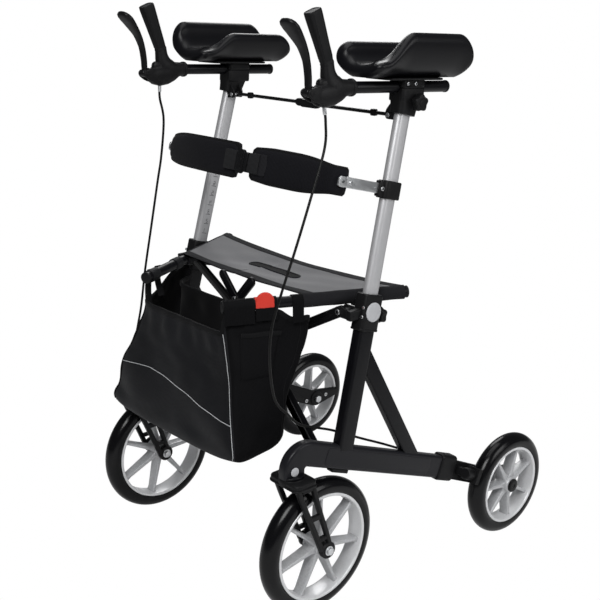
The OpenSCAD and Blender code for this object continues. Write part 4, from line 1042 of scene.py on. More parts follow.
def strap_arm(s, name):
    """Clamp round the mast with its screw block, and the flat bar with a hole in its end."""
    at = MIRROR[s] @ on_up(STRAP_ARM_AT)
    bore = corner_rect(MAST_W + 0.4, MAST_D + 0.4, 10.1)
    b = Build().grid(hollow(corner_rect(30, 44, 9), bore, -17, 17, 2.5), at)
    b.block(16, 14, 4, -15, 15, 2, moved(at, 0, -24, 0))
    screw(b, at @ place((8, -26, 0), AXLE), 4.2, 2.4, 1, 0)
    bar = at @ place(rotation=SIDE_ON)
    b.block(88, 20, 2, -2.5, 2.5, 0.8, moved(bar, -72, 0, 0), 1)
    eye = hollow(corner_rect(20.4, 20, 6), corner_rect(6, 6, 2.99), -2.5, 2.5, 0.8)
    b.grid(eye, moved(bar, -124, 0, 0), finish=1)
    screw(b, at @ place((2.3, -104, 0), AXLE), 4, 1.6, 1)
    b.side(name, "strap_arm", "mast", "steel", [PLASTIC, STEEL], "strap_arm")


both(mast, strap_arm)
print("masts made, numerals each", len(NUMERALS))

# %% [markdown]
# ## Arm clamps and arm tubes
# On the mast's top sits a split block that grips the arm tube and carries the pad's plate. A knob on its
# outer side tightens it, so that the arm can be slid to the user's reach; its ears carry the tie link
# between the masts. The split could be cut out of one block; two blocks with a gap need no cutting.

# %% Clamps and arm tubes
ARM_R, ARM_FRONT, ARM_REAR = 10.8, -160, 104


def clamp(s, name):
    """Funnel socket, split block round the arm tube, pad plate, bolts, tie ears; then the knob."""
    m, at = MIRROR[s], MIRROR[s] @ ARM
    b = Build()
    rows = []
    for rise, k in ((-26, 0), (-12, 3), (4, 9), (16, 12)):
        u, v = corner_rect(46 + k, 34 + 0.4 * k, 11).T[..., None]
        rows.append(up_at(MAST_TOP + rise) - u * UP_TURN[:, 1] + v * UP_TURN[:, 0])
    b.grid(rows, m)
    for sizes in ((60, 40, 7, -26, -1.0, 3), (60, 40, 7, 0.6, 14.5, 3), (56, 37, 6, -6, 6, 1)):
        b.block(*sizes, at @ place(rotation=FLAT))
    b.block(70, 150, 14, 14, 18, 1.5, moved(at, 0, -8, 0))
    for x, y in ((14, -22), (14, 22), (-14, -22), (-14, 22)):
        b.turned(puck(4.6, 9, 1), 20, moved(at, x, y, -9))
    for y in (-18, 2):
        screw(b, at @ place((19.6, y, 7), AXLE), 3.6, 2, 1, 0)
    ear = ([(-8, -8), (24, -8), (24, 26), (8, 26), (-8, 8)], 7, 0.8)
    lug_pair(b, m, TIE, ear, 10.75, 2, (4.5, 2, 1), (3, 12, 20))
    b.side(name, "clamp", "mast", "black_plastic", [PLASTIC, STEEL], "arm_clamp")
    b = Build()
    knob(b, at @ place((22, 5, -27), AXLE))
    b.side(name, "clamp_knob", "clamp_knob", "black_plastic", [PLASTIC], "clamp_knob")


def arm_tube(s, name):
    """Round tube under the pad with a cap at its rear end."""
    at = MIRROR[s] @ ARM
    b = Build().grid(tube([(0, ARM_FRONT, 0), (0, ARM_REAR, 0)], ARM_R, 36, 0.6), at)
    cap = [(ARM_R, 0), (11.6, 1), (11.6, 4), (9, 6), (3, 6.6)]
    b.turned(cap, 32, at @ place((0, ARM_REAR - 3, 0), rearward(1)), 1)
    b.side(name, "arm_tube", "arm", "tube_paint", [TUBE_PAINT, PLASTIC], "arm_tube")


both(clamp, arm_tube)
print("clamps and arm tubes made")

# %% [markdown]
# ## Forearm pads
# The pad is a trough of skinned foam, a thick U carried along the arm, open in front on one side so that
# the forearm can come in. A formula for the U's middle line, thickened along its normal, gives the rolled
# edge all the way round; a box bent by a modifier would pinch at the corners.

# %% Forearm pads
PAD_L, PAD_W, PAD_OUT, PAD_IN, PAD_T = 250.0, 128.0, 84.0, 64.0, 27.0
PAD_END, PAD_LIP = 0.055, 0.16


def pad(s, name):
    """Middle line x = w sin(pi t / 2), h = H(f)(1 - cos(pi t / 2)), plus and minus half the thickness.

    f runs from front to rear and t from the inner lip (-1) to the outer (1). Stations crowd towards both
    ends, where the thickness closes as half an ellipse; the lips close with a half circle. The wall's
    height H falls to a low lip in front on one side and by a round step on the other.
    """
    c = np.linspace(0, np.pi / 2, 14)
    end = PAD_END * (1 - np.cos(c))
    f = np.concatenate([end, np.linspace(PAD_END, 1 - PAD_END, 56)[1:-1], 1 - end[::-1]])
    rim_t = 1 - PAD_LIP * (1 - np.cos(np.linspace(0, np.pi / 2, 12)))
    t = np.concatenate([rim_t, np.linspace(1 - PAD_LIP, PAD_LIP - 1, 45)[1:-1], -rim_t[::-1]])
    rear = np.where(f > 0.84, bulge((f - 0.84) / 0.17), 1)
    wave = 0.12 + 0.16 * bulge(np.clip(1 - f / 0.1, 0, 1)) + 0.72 * ease((f - 0.08) / 0.28)
    step = 0.3 + 0.7 * bulge(np.clip(1 - f / 0.12, 0, 1))
    out_h = (PAD_OUT - PAD_T / 2) * (wave if s > 0 else step) * rear
    in_h = (PAD_IN - PAD_T / 2) * (step if s > 0 else wave) * rear
    close = np.where(f > 1 - PAD_END, bulge((f - 1 + PAD_END) / PAD_END), 1)
    thick = PAD_T * np.where(f < PAD_END, bulge(1 - f / PAD_END), close)
    lip = np.where(np.abs(t) > 1 - PAD_LIP, bulge((np.abs(t) - 1 + PAD_LIP) / PAD_LIP), 1)

    def middle(t):
        """Points of the middle line."""
        x = (PAD_W - PAD_T) / 2 * np.sin(np.pi / 2 * t)[None] * np.ones_like(f)[:, None]
        h = np.where(t[None] > 0, out_h[:, None], in_h[:, None]) * (1 - np.cos(np.pi / 2 * t))[None]
        return x, h

    x, h = middle(t)
    xa, ha = middle(t + 0.01)
    xb, hb = middle(t - 0.01)
    nx, nh = -(ha - hb), xa - xb
    length = np.hypot(nx, nh)
    half = thick[:, None] / 2 * lip[None]
    soft = 0.4 * np.sin(f * 9)[:, None] * np.cos(t * 5)[None]
    y = np.broadcast_to(PAD_L * (f - 0.5)[:, None], x.shape)
    under, over = (np.stack([x + k * nx / length * half, y,
                             np.maximum(h + k * nh / length * (half + wave_up), 3 - PAD_T / 2)], -1)
                   for k, wave_up in ((-1, 0), (1, soft)))
    rings = np.concatenate([under, over[:, ::-1]], 1)
    b = Build().grid(rings[:, ::-1], MIRROR[s] @ ARM @ place((0, -8, 15 + PAD_T / 2)))
    obj = b.side(name, "pad", "mast", "pad_foam", [PAD], "forearm_pad", 75)


both(pad)
print("pads made")

# %% [markdown]
# ## Handles
# The handle body swells from the arm tube into the grip's foot and holds the lever's pivot between two
# cheeks. It would be moulded; here three lofts of ovals run into each other, which gives the soft shapes
# of a moulding without cutting one solid from another.

# %% Handle bodies
LEVER_PIVOT = (0, -242, -8)
# First two points of both cables, out of the handle
CABLE_EXIT = [(259, -211, 986), (262, -210, 960)]
# y, z, half width and half depth along the neck, the belly and the spur under the grip
NECK = [(-143, 0, 14, 14), (-154, 0, 14.4, 14.6), (-166, -1, 14.8, 16.5), (-179, 0, 15, 19.5),
        (-190, 8, 14, 19), (-196.5, 19, 12, 15.6), (-199.6, 30, 10.6, 13.2), (-201, 41, 9.8, 12.2)]
BELLY = [(-158, -3, 12, 11), (-172, -7, 14.4, 17), (-188, -10, 15.6, 21.5), (-206, -12, 15.6, 22.4),
         (-221, -12.5, 14.4, 18.5), (-228, -12, 12, 13.5), (-231, -11.6, 8, 8)]
SPUR = [(-200, 2, 10, 12), (-209, 6, 9.6, 11), (-217, 8, 8, 8.5), (-221, 9, 5, 5)]


def along(p):
    """Distance along a row of points."""
    return np.concatenate([[0], np.cumsum(np.linalg.norm(np.diff(p, axis=0), axis=1))])


def loft(b, at, stations, step, power, up=(0, 0, 1)):
    """Ovals along a smooth line; each station is y, z, half width and half depth."""
    stations = np.array(stations, float)
    line = curve(np.column_stack([np.zeros(len(stations)), stations[:, :2]]), step)
    u, v = along(line), along(stations[:, :2])
    w, h = (np.interp(u / u[-1], v / v[-1], stations[:, k]) for k in (2, 3))
    b.grid(sweep(line, np.array([ring(p, q, 32, power) for p, q in zip(w, h)]), up), at)


def handle_body(s, name):
    """Neck, belly, spur, collar ring, pivot cheeks with screws, and the cable's sleeve."""
    at = MIRROR[s] @ ARM
    b = Build()
    for stations, step, power in ((NECK, 2.5, 0.8), (BELLY, 3, 0.85), (SPUR, 2.5, 0.7)):
        loft(b, at, stations, step, power)
    ring_rows = [(11, 0), (15.4, 0.6), (16, 2), (16, 6), (15.4, 7.4), (12, 8)]
    b.turned(ring_rows, 36, at @ place((0, -139, 0), AHEAD))
    cheek = round_poly([(-5, -8), (5, -8), (15, 6), (22, 30), (-2, 38), (-12, 14)], 7)
    for e in (-1, 1):
        b.grid(prism(cheek, -2.4, 2.4, 1.8), moved(at, *LEVER_PIVOT) @ place((e * 10, 0, 0), AXLE))
        screw(b, moved(at, *LEVER_PIVOT) @ place((e * 12.3, 0, 0), outward(e)), 4.6, 1.4, 0)
    inverse = np.linalg.inv(ARM)
    p0, p1 = ((inverse @ np.array([*p, 1.0]))[:3] for p in CABLE_EXIT)
    sleeve = at @ facing(p0, p0 - p1)
    b.turned([(4.6, 0), (5, 2), (5, 12), (4.4, 16)], 24, sleeve)
    b.turned([(3.0, -13), (3.5, -12), (3.5, 1)], 20, sleeve, 1)
    b.side(name, "handle", "arm", "black_plastic", [PLASTIC, STEEL], "handle_body")


both(handle_body)
print("handle bodies made")

# %% [markdown]
# ## Grips and levers
# The grip is a flat-sided rubber slab that widens towards its top, with a groove above its foot. The
# lever is a blade that starts slim at its pivot and ends in a broad paddle for the fingers. Both are rows
# of sections, so that their width can change along the way.

# %% Grips and levers
# Height above the grip's foot and share of its full section
GRIP_ROWS = [(0, 0.72), (1.5, 0.75), (5, 0.75), (6.4, 0.71), (8.2, 0.71), (9.6, 0.74), (30, 0.79),
             (50, 0.84), (70, 0.9), (90, 0.95), (96, 0.94), (97.6, 0.91), (98.2, 0.87), (98.2, 0.72),
             (97.6, 0.7), (97.6, 0.4)]
GRIP_W, GRIP_D, GRIP_CORNER = 25, 32, 8.6
# y and z from the pivot, half width and half depth of the lever
LEVER = [(0, 2, 6.2, 4.6), (0, 6, 6.4, 5), (-0.5, 14, 7, 5.2), (-2, 30, 7.6, 5), (-7, 54, 8.6, 4.8),
         (-17.5, 77, 12.4, 4.8), (-33, 97, 18, 6.2), (-43, 108, 20.6, 7), (-50, 114.4, 19.6, 6.6),
         (-54.6, 118.2, 15.8, 5.4), (-57, 120.2, 10.6, 3.8), (-58.2, 121, 4, 1.6)]


def grip(s, name):
    """Slab of rounded rectangles with two raised seams on each flat side."""
    at = MIRROR[s] @ ARM @ place((0, -200.5, 39), turn(23, -1, 0))
    rows = []
    for z, q in GRIP_ROWS:
        section = corner_rect(GRIP_W * q, GRIP_D * q, GRIP_CORNER * q, 7)
        rows.append(np.column_stack([section, np.full(len(section), z)]))
    b = Build().grid(rows, at)
    z = np.linspace(14, 92, 18)
    heights, shares = np.array(GRIP_ROWS[:11]).T
    for e in (-1, 1):
        edge = np.interp(z, heights, e * GRIP_W / 2 * shares)
        for y in (-8.4, 8.4):
            b.grid(tube(np.column_stack([edge, np.full(18, y), z]), 0.55, 8, None, (1, 0, 0)), at, finish=1)
    b.side(name, "grip", "arm", "grip_rubber", [GRIP, WEBBING], "grip")


def lever(s, name):
    """Loft of ovals up from the pivot, and the pivot's barrel."""
    at = moved(MIRROR[s] @ ARM, *LEVER_PIVOT)
    b = Build()
    loft(b, at, LEVER, 2.5, 0.72, (0, -1, 0))
    b.turned([(3.1, -7), (7, -7), (8, -6), (8, 6), (7, 7), (3.1, 7)], 32, at @ place(rotation=AXLE))
    b.side(name, "lever", "lever", "black_plastic", [PLASTIC_SMOOTH], "brake_lever")


both(grip, lever)
print("grips and levers made")

# %% [markdown]
# ## Brake cables
# A brake cable is a steel wire in a black sheath from each handle to its rear wheel. A curve object with
# a round bevel would look the same; here it is a rod along a smooth curve. It has two lengths: the lower
# between frame and mast, the upper between mast and arm.

# %% Cables
SHEATH_R = 2.5
HIGH = {1: CABLE_EXIT + [(267, -217, 914), (272, -254, 830), (273, -290, 745), (272, -323, 668),
                         (270, -344, 606), (268, -347, 540), (266, -334, 467)],
        -1: CABLE_EXIT + [(258, -205, 914), (262, -212, 837), (265, -222, 783), (267, -242, 686),
                          (267, -264, 587), (266, -279, 508), (265, -292, 460)]}
LOW = [(264, -300, 426), (262, -270, 397), (260, -224, 376), (260, -181, 357), (261, -109, 319),
       (267, -50, 290), (272, 0, 264), (277, 40, 245), CABLE_END]


def cable(s, name):
    """Two lengths of sheath along the route, parted where the mast's and the frame's share meet."""
    side = np.array([s, 1, 1])
    route = curve(HIGH[s] + LOW, 5) * side
    top, meet, foot = (np.array(p) * side for p in (HIGH[s][1], HIGH[s][4], LOW[1]))
    part = int(np.argmin(np.linalg.norm(route - meet, axis=1)))
    for label, path, near, far, start, end, lay in (
            ("upper", route[:part + 1], "mast", "arm", meet, top, "hanging"),
            ("lower", route[part:], "frame", "mast", foot, meet, "taut")):
        b = Build().grid(tube(path, SHEATH_R, 12, None, (1, 0, 0)))
        nodes = [f"brake_cable_{name}"]
        obj = b.make(f"cable_{label}_look_{name}", None, "cable_sheath", [CABLE], nodes, 60)
        start, end = ([c * 0.001 for c in p] for p in (start, end))
        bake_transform(obj)
        line = path if label == "upper" else path[::-1]
        tuple(line[0] * 0.001)
        (line * 0.001).tolist()


both(cable)

# %% [markdown]
# ## Folding frame
# The two sides are joined by crossing struts under the seat, links from the collars to the crossing, and
# a tie between the masts, so that the walker folds sideways. All are flat bars with round eyes. They are
# drawn along local x from the pivot, which lets one outline serve every length.

# %% Struts, links, ties
def stadium(length, w):
    """Outline of a flat link from 0 to length along x with round eyes."""
    return corner_rect(length + w, w, w / 2 - 0.01, 8) + [length / 2, 0]


def strut(s, name):
    """Thick lower half, thinner half that passes the other strut in the middle, and the crossing's pin."""
    x, _, z = STRUT_FOOT
    rise, length = math.degrees(math.atan2(STRUT_TOP_Z - z, x)), math.hypot(STRUT_TOP_Z - z, x)
    at = MIRROR[s] @ place(STRUT_FOOT, turn(0, rise - 180, 0) @ AHEAD)
    front = 8.0 * s
    near, far = sorted((front * 0.06, front))
    b = Build().grid(prism(stadium(length - 40, 20), -8, 8, 2.5), at)
    b.grid(prism(stadium(length + 50, 20) + [10, 0], near, far, 1.6), at)
    b.turned(puck(11, 7.6, 1.2), 36, moved(at, length, 0, near))
    screw(b, at @ place((length, 0, front), turn(0 if s > 0 else 180)), 6, 2.4, 1, 0)
    b.side(name, "strut", "strut", "tube_paint", [TUBE_PAINT, STEEL], "fold_strut")


def link(s, name):
    """Flat upper link with a rib along its middle."""
    x, y, z = LINK_HEAD
    fall, length = math.degrees(math.atan2(z - LINK_LOW_Z, x)), math.hypot(z - LINK_LOW_Z, x)
    at = MIRROR[s] @ place((x, y - s * 4.25, z), turn(0, -180 - fall, 0) @ AHEAD)
    b = Build().grid(prism(stadium(length, 21.6), -3.9, 3.9, 1.6), at)
    b.grid(prism(stadium(length - 70, 9) + [35, 0], -4.3, 4.3, 0.5), at)
    screw(b, at @ place((length, 0, s * 3.9), turn(0 if s > 0 else 180)), 6, 2, 1, 0)
    b.side(name, "link", "link", "black_plastic", [PLASTIC_SMOOTH, STEEL], "fold_link")


def tie(s, name):
    """Tie link: a slim bar with an eye, a wider end in the middle and a stop block."""
    at = MIRROR[s] @ place((TIE[0], TIE[1] - s * 4.25, TIE[2]))
    flat = at @ place(rotation=AHEAD)
    reach = TIE[0] + 12
    b = Build().grid(rounded_ends([(-2, 0, 0), (14 - reach, 0, 0)], corner_rect(7.5, 7, 3), 1), at)
    end = [(-2, -8), (46, -8), (54, -4), (54, 4), (46, 8), (-2, 8)]
    b.grid(prism(round_poly([(u - reach, v) for u, v in end], 4), -3.8, 3.8, 1.2), flat)
    b.turned(puck(7, 7.6, 1), 28, moved(flat, 0, 0, -3.8))
    b.block(14, 13, 3, -3.9, 3.9, 1, moved(flat, -46, 0, 0))
    b.side(name, "tie", "tie", "black_plastic", [PLASTIC_SMOOTH], "tie_link")


both(strut, link, tie)
print("folding frame made")

# %% [markdown]
# ## Seat
# The seat is a net sewn to sleeves on the rails, with hems in front and behind and a bound slot to pull
# it up by when folding. Its height is a formula: it sags across as a parabola and ripples a little. It is
# made as two halves and a middle strip.

# %% Seat net
SEAT_F, SEAT_R, SEAT_TOP = -207.0, -20.0, 628.4
SEAT_Y = (SEAT_F + SEAT_R) / 2
MID_HALF, SLOT_END, SLOT_R = 25.0, 62.5, 12.5
SEAT_MID = MID_HALF / rail_x(SEAT_Y)
SLEEVE_IN, SLEEVE_OUT = 11.4, 14.2


def seat_height(u, v):
    """Top of the net: u = x / half width in -1..1, v = 0..1 front to rear; sag (1 - u^2) and small waves."""
    sag = (1 - u ** 2) * (4.5 + 9.0 * ease(1.6 * v))
    pull = 1.5 * np.sin(7 * u + 5 * v) * np.sin(np.pi * v) + 0.8 * np.sin(17 * v - 6 * u)
    pull = pull + 0.8 * np.sin(11 * v + 15 * u) * v * (1 - v) * 4
    return SEAT_TOP - sag + pull * (1 - u ** 2)


def seat_strip(b, m, u0, u1, nu, v0=0.0, v1=1.0, nv=48, puff=0.0, finish=0):
    """Net or hem between two u and two v: faces 2 mm apart, puffed over its middle for a hem."""
    u, v = np.meshgrid(np.linspace(u0, u1, nu), np.linspace(v0, v1, nv), indexing="ij")
    y = mix(SEAT_F, SEAT_R, v)
    x, z = u * rail_x(y), seat_height(u, v)
    edge = puff * np.sqrt(np.clip(1 - (2 * (v - v0) / (v1 - v0) - 1) ** 8, 0, 1))
    top, low = np.stack([x, y, z + edge], -1), np.stack([x, y, z - 2 - edge], -1)
    b.grid(np.swapaxes(np.concatenate([top, low[::-1]], 0), 0, 1), m, finish=finish)


def slot_part(b, m, x0, x1):
    """Length of the slot between two x: bound rim, its round end where it has one, and a dark floor of
    painted shade.
    """
    rear = np.column_stack([np.linspace(x0, min(x1, SLOT_END), 10), np.full(10, SLOT_R)])
    end = arc(SLOT_R, 90, -90, 17)[1:-1] + [SLOT_END, 0]
    whole = x1 > SLOT_END
    outline = np.vstack([rear, end[:len(end) * whole], rear[::-1] * [1, -1]])
    height = seat_height(outline[:, 0] / rail_x(SEAT_Y), 0.5 + outline[:, 1] / (SEAT_R - SEAT_F))
    path = np.column_stack([outline[:, 0], SEAT_Y + outline[:, 1], height])
    for piece in [path] if whole else [path[:10], path[10:]]:
        b.grid(sweep(piece + 0.7 * UP, corner_rect(5, 3.6, 1.4, 3)), m, finish=1)
    # Dark sheet across the slot: painted shade for the space seen through it
    b.grid(np.array([path + k * UP for k in (-1.6, 0.9)])[:, ::-1], m, finish=2)


def seat_part(b, m, u0, u1, nu):
    """Net with its front and rear hem between two u."""
    seat_strip(b, m, u0, u1, nu)
    for v0, v1 in ((0.0, 0.12), (0.88, 1.0)):
        seat_strip(b, m, u0, u1, nu, v0, v1, 9, 1.0, 1)


print("net's height in its middle", round(float(seat_height(0.0, 0.5)), 1))

# %% [markdown]
# ## Seat: halves and middle
# Each half reaches from the middle strip to its rail and closes round the rail as a sleeve. The sleeve
# could be a separate tube; here it is one piece with the net.

# %% Seat halves and middle
def rail_round(y, r, angles):
    """Points round the left rail at y, r off its axis (one r, or one for each angle)."""
    c, n = np.cos(angles)[:, None], np.sin(angles)[:, None]
    return rail_at(y) + np.reshape(r, (-1, 1)) * (c * RAIL_OUT + n * UP)


def seat_half(s, name):
    """One half of the net from the middle strip to the rail, with its sleeve round the rail."""
    b = Build()
    m = MIRROR[s]
    seat_part(b, m, SEAT_MID, 1.0, 40)
    a = np.radians(np.linspace(-200, 90, 22))
    rows = []
    for q in np.linspace(0, 1, 30):
        y = mix(SEAT_F, SEAT_R, q)
        r = SLEEVE_OUT + 0.35 * math.sin(23 * q) * math.sin(5 * q)
        rows.append(np.concatenate([rail_round(y, r, a), rail_round(y, SLEEVE_IN, a)[::-1]]))
    b.grid(np.array(rows)[:, ::-1], m, finish=1)
    slot_part(b, m, MID_HALF, SLOT_END + SLOT_R)
    obj = b.make(f"seat_look_{name}", None, "seat_mesh", [NET, HEM, PRINT_AND_SHADE_BLACK], ["seat_net"], 50)
    s * 0.262
    s * 0.03
    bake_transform(obj)


def seat_middle():
    """Strip over the crossing, from one strut to the other."""
    b = Build()
    m = np.eye(4)
    seat_part(b, m, -SEAT_MID, SEAT_MID, 17)
    slot_part(b, m, -MID_HALF, MID_HALF)
    obj = b.make("seat_look_middle", None, "seat_mesh", [NET, HEM, PRINT_AND_SHADE_BLACK], ["seat_net"], 50)
    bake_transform(obj)


both(seat_half)
seat_middle()
print("seat halves and middle made")

# %% [markdown]
# ## Bag: the wall
# The shopping bag is sewn from nylon and hangs under the rails. Its wall is a rounded square whose front
# and rear lines move with the height; belly, creases and tugs are sums of slanted waves. A cloth
# simulation would drape it too, but waves come out the same at every run.

# %% Bag wall
BAG_LOW, BAG_FRONT, BAG_WALL, SQUARE = 318.0, -394.0, 3.0, 12
# Rear edge of the side panels (y) at heights h, drawn forward to clear the struts
SIDE_H, SIDE_Y = (0, 0.28, 0.5, 0.88, 1), (-252, -236, -228, -183, -180)


def bag_wall(h, a, wall):
    """Points of the wall: h = 0..1 up the bag, a round it from the front middle towards +X.

    The section is (sin a, -cos a) / (|sin a|^12 + |cos a|^12)^(1/12), a square with tight corners; the side
    panels rise to the rails and the rear panel is drawn forward in its middle, in front of the struts.
    """
    c, n = np.cos(a), np.sin(a)
    norm = (np.abs(n) ** SQUARE + np.abs(c) ** SQUARE) ** (1 / SQUARE)
    q, r = n / norm, -c / norm
    v = (r + 1) / 2
    k = np.where(h < 0.12, 0.88 + 0.12 * bulge(1 - h / 0.12), 1)
    fy = mix(BAG_FRONT, RAIL_A[1] - 4, ease(h)) + wall
    rear, side = mix(-258, -236, ease(2 * h)), np.interp(h, SIDE_H, SIDE_Y)
    ry = mix(rear, side, np.minimum(np.abs(q) / 0.944, 1) ** 14) - wall
    front_half = mix(226, RAIL_A[0] + 2, h ** 1.1) + np.where(q < 0, 21, 0)
    half = mix(front_half, mix(205, rail_x(-165.0), h), v) - wall
    mid = (fy + ry) / 2
    droop = np.where(q < 0, ease((v - 0.2) / 0.6), 1 - 0.62 * ease((v - 0.57) / 0.2))
    rise = ease((np.abs(q) - 0.935) / 0.055) * droop
    mouth = mix(mix(562, 575, v), RAIL_Z - RAIL_R - 1.5, rise)
    x, y = k * half * q, mid + k * (mix(fy, ry, v) - mid)
    z = mix(BAG_LOW + 1 + 4 * q + 12 * (q * r) ** 4 + wall, mouth, h)
    belly = 4.0 * np.sin(np.pi * h) * (1 - np.abs(q * r) ** 2)
    crease = 2.6 * np.sin(5 * q + 4 * r + 8 * h) * np.sin(np.pi * h)
    crease = crease + 1.5 * np.sin(13 * q - 9 * r - 17 * h) * h * (1 - h) * 3
    tug = 2.0 * np.exp(-((h - 0.88) / 0.08) ** 2) * np.sin(19 * q + 11 * r)
    sag = 2.4 * np.exp(-((h - 0.16) / 0.12) ** 2) * np.sin(9 * q + 7 * r + 1)
    fold = 0.7 * np.sin(11 * q + 4 * r + 19 * h + 2 * np.sin(9 * h)) * np.sin(5 * q - 8 * h + 1)
    out = (belly + crease + tug + sag + fold - 5.5) * np.clip(0.2 + h * 5, 0, 1)
    return np.stack([x + q * 0.8 * out, y + r * out, z + 0 * out], -1)


print("bag mouth at its front middle", bag_wall(np.ones(1), np.zeros(1), 0.0)[0].round(1))

# %% [markdown]
# ## Bag: trim
# A hem closes the mouth, and a silver piping runs down the front edge and across the front panel. On the
# far rail the bag hangs by sleeves and tapes. Trim could be shrink-wrapped to the cloth; here it follows
# the wall's own formula, a little outside it, so that it lies on the cloth wherever it bulges.

# %% Bag trim
TRIM_R = 0.7
# Place across the front panel and height of the trim line
FRONT_TRIM = [(-0.95, 0.42, 0), (-0.55, 0.475, 0), (-0.35, 0.475, 0), (0.25, 0.42, 0), (0.6, 0.36, 0),
              (0.99, 0.30, 0)]


def sweep_loop(path, section):
    """Section carried round a closed path, f upwards."""
    t = np.roll(path, -1, 0) - np.roll(path, 1, 0)
    t /= np.linalg.norm(t, axis=1, keepdims=True)
    f = UP - t[:, 2:] * t
    f /= np.linalg.norm(f, axis=1, keepdims=True)
    e = np.cross(f, t)
    return path[:, None] + section[None, :, :1] * e[:, None] + section[None, :, 1:] * f[:, None]


def front_trim():
    """Trim line across the front panel: heights at its places, joined by a smooth curve."""
    q = np.linspace(-0.95, 0.99, 70)
    knots = curve(FRONT_TRIM, 0.02)
    return bag_wall(np.interp(q, knots[:, 0], knots[:, 1]), np.arctan(q), -0.8)


def rail_sleeve(y0, y1, r):
    """Length of cloth round the right rail between two y, rippled by 0.35 sin(3a)."""
    a = np.linspace(0, 2 * np.pi, 28, endpoint=False)
    n = max(4, int(abs(y1 - y0) / 3))
    rows = []
    for i, y in enumerate(np.linspace(y0, y1, n)):
        end = 0.8 if i in (0, n - 1) else 0.0
        rows.append(rail_round(y, r - end + 0.35 * np.sin(3 * a + 0.4 * i), a))
    return np.array(rows)[:, ::-1] * [-1, 1, 1]


print("trim line has", len(front_trim()), "points")

# %% [markdown]
# ## Bag: pocket and hangers
# The left panel carries a patch pocket, and the bag hangs on the near rail by skirts of cloth. The pocket
# is the wall's own formula lifted outwards, so it needs no fitting; a skirt is one cloth section carried
# along the rail.

# %% Bag pocket and hangers
# Cloth of the skirts: outer and inner radius round the rail
SKIRT_OUT, SKIRT_IN = 13.3, 11.6


def pocket(b):
    """Patch pocket on the left panel: lifted cloth, thickest in its middle, a bound top edge and a seam."""
    u, v = np.meshgrid(np.linspace(0, 1, 30), np.linspace(0, 1, 26), indexing="ij")
    base = bag_wall(mix(0.56, 0.85, v), mix(0.96, 1.78, u), 0.0)
    lift = 4.5 * (1 - (2 * u - 1) ** 8) * (1 - (2 * v - 1) ** 8) + 0.5
    out = np.array([1.0, 0, 0])
    outer, inner = base + out * lift[..., None], base - out * 0.8
    b.grid(np.swapaxes(np.concatenate([outer, inner[::-1]], 0), 0, 1), finish=4)
    edge = bag_wall(np.full(30, 0.845), np.linspace(0.97, 1.77, 30), 0.0) + out * 5.0
    b.grid(sweep(edge, corner_rect(3, 9, 1.2, 3)), finish=2)
    seam = bag_wall(np.linspace(0.05, 0.97, 40), np.full(40, math.pi / 2 + math.atan(0.66)), -0.1)
    b.grid(tube(seam, 0.8, 8, None, (1, 0, 0)), finish=2)


def skirt(y0, y1, drop):
    """Cloth over the left rail: an arc round its top, then a fall on the outer side down to the panel."""
    k = np.linspace(0.15, 1, 8)[:, None]
    rows = []
    for y in np.linspace(y0, y1, max(6, int((y1 - y0) / 4))):
        wave = 0.6 * math.sin(0.21 * y) + 0.4 * math.sin(0.53 * y)
        fall = k * [wave, -drop]
        outer, inner = (np.vstack([arc(r, 215, 0, 16), fall + [r, 0]]) for r in (SKIRT_OUT, SKIRT_IN))
        x, z = np.vstack([outer, inner[::-1]]).T[..., None]
        rows.append(rail_at(y) + x * RAIL_OUT + z * UP)
    return np.array(rows)


print("pocket and skirts ready")

# %% [markdown]
# ## Bag: sewing it together
# The shell is the wall twice, outside and inside, joined at the mouth. The side panels take a darker
# copy of the front's nylon: painted shade, which keeps them darker than the lit front. The pocket and
# the skirts on the left rail take it too.

# %% Bag
LEVELS, ROUND = 54, 240


def bag():
    """Shell, hem, piping, pocket, skirts on the left rail, and sleeves and tapes on the right one."""
    a = np.linspace(0, 2 * np.pi, ROUND, endpoint=False)
    up, around = np.meshgrid(np.linspace(0, 1, LEVELS) ** 1.2, a, indexing="ij")
    outer, inner = bag_wall(up, around, 0.0), bag_wall(up, around, BAG_WALL)
    b = Build().grid(np.concatenate([outer, inner[::-1]]))
    # Side panels take finish 4, the darker copy of the nylon that paints their shade
    panel = np.where(np.abs(np.sin(a)) > np.abs(np.cos(a)), 4, 0)
    outside = np.arange(2 * LEVELS - 1)[:, None] < LEVELS
    b.finish = np.where(outside, panel, 1).ravel().tolist() + [0, 1]
    mouth = bag_wall(np.full(ROUND, 0.985), a, 0.4)
    b.grid(sweep_loop(mouth, corner_rect(5, 10, 1.6, 3)), loop=True, finish=2)
    for s, finish in ((1, 3), (-1, 2)):
        seam = bag_wall(np.linspace(0.03, 0.985, 60), np.full(60, s * math.pi / 4), -0.4)
        b.grid(tube(seam, TRIM_R, 10, None, (0.3, -1, 0.2)), finish=finish)
    b.grid(tube(front_trim(), TRIM_R, 10, None, (0, -1, 0)), finish=3)
    pocket(b)
    for y0, y1, drop in ((-347, -294, 34.0), (-292, -254, 30.0), (-227, -207, 40.0)):
        b.grid(skirt(y0, y1, drop)[:, ::-1], finish=4)
    for y0, y1 in ((-338, -312), (-250, -228)):
        b.grid(rail_sleeve(y0, y1, 13.4))
    corner = bag_wall(np.array([0.97]), np.array([-math.pi / 4]), 0.0)[0]
    for y, foot in ((-326, corner + [2, 6, 0]), (-300, corner + [-4, 42, 8])):
        top = np.array([-rail_x(y) - 12.5, y, RAIL_Z])
        tape = curve([top + [6, 0, 11], top, (top + foot) / 2 + [-3, 0, 0], foot], 4)
        b.grid(sweep(tape, corner_rect(2.2, 15, 0.9, 3), (0, 1, 0)), finish=2)
    finishes = [NYLON, LINING, BINDING, PIPING, SHADED_SIDE_CLOTH]
    obj = b.make("bag_look", "left_frame", "bag_nylon", finishes, ["bag"], 60)
    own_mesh(obj)
    print("bag", len(obj.data.polygons), "faces")


bag()
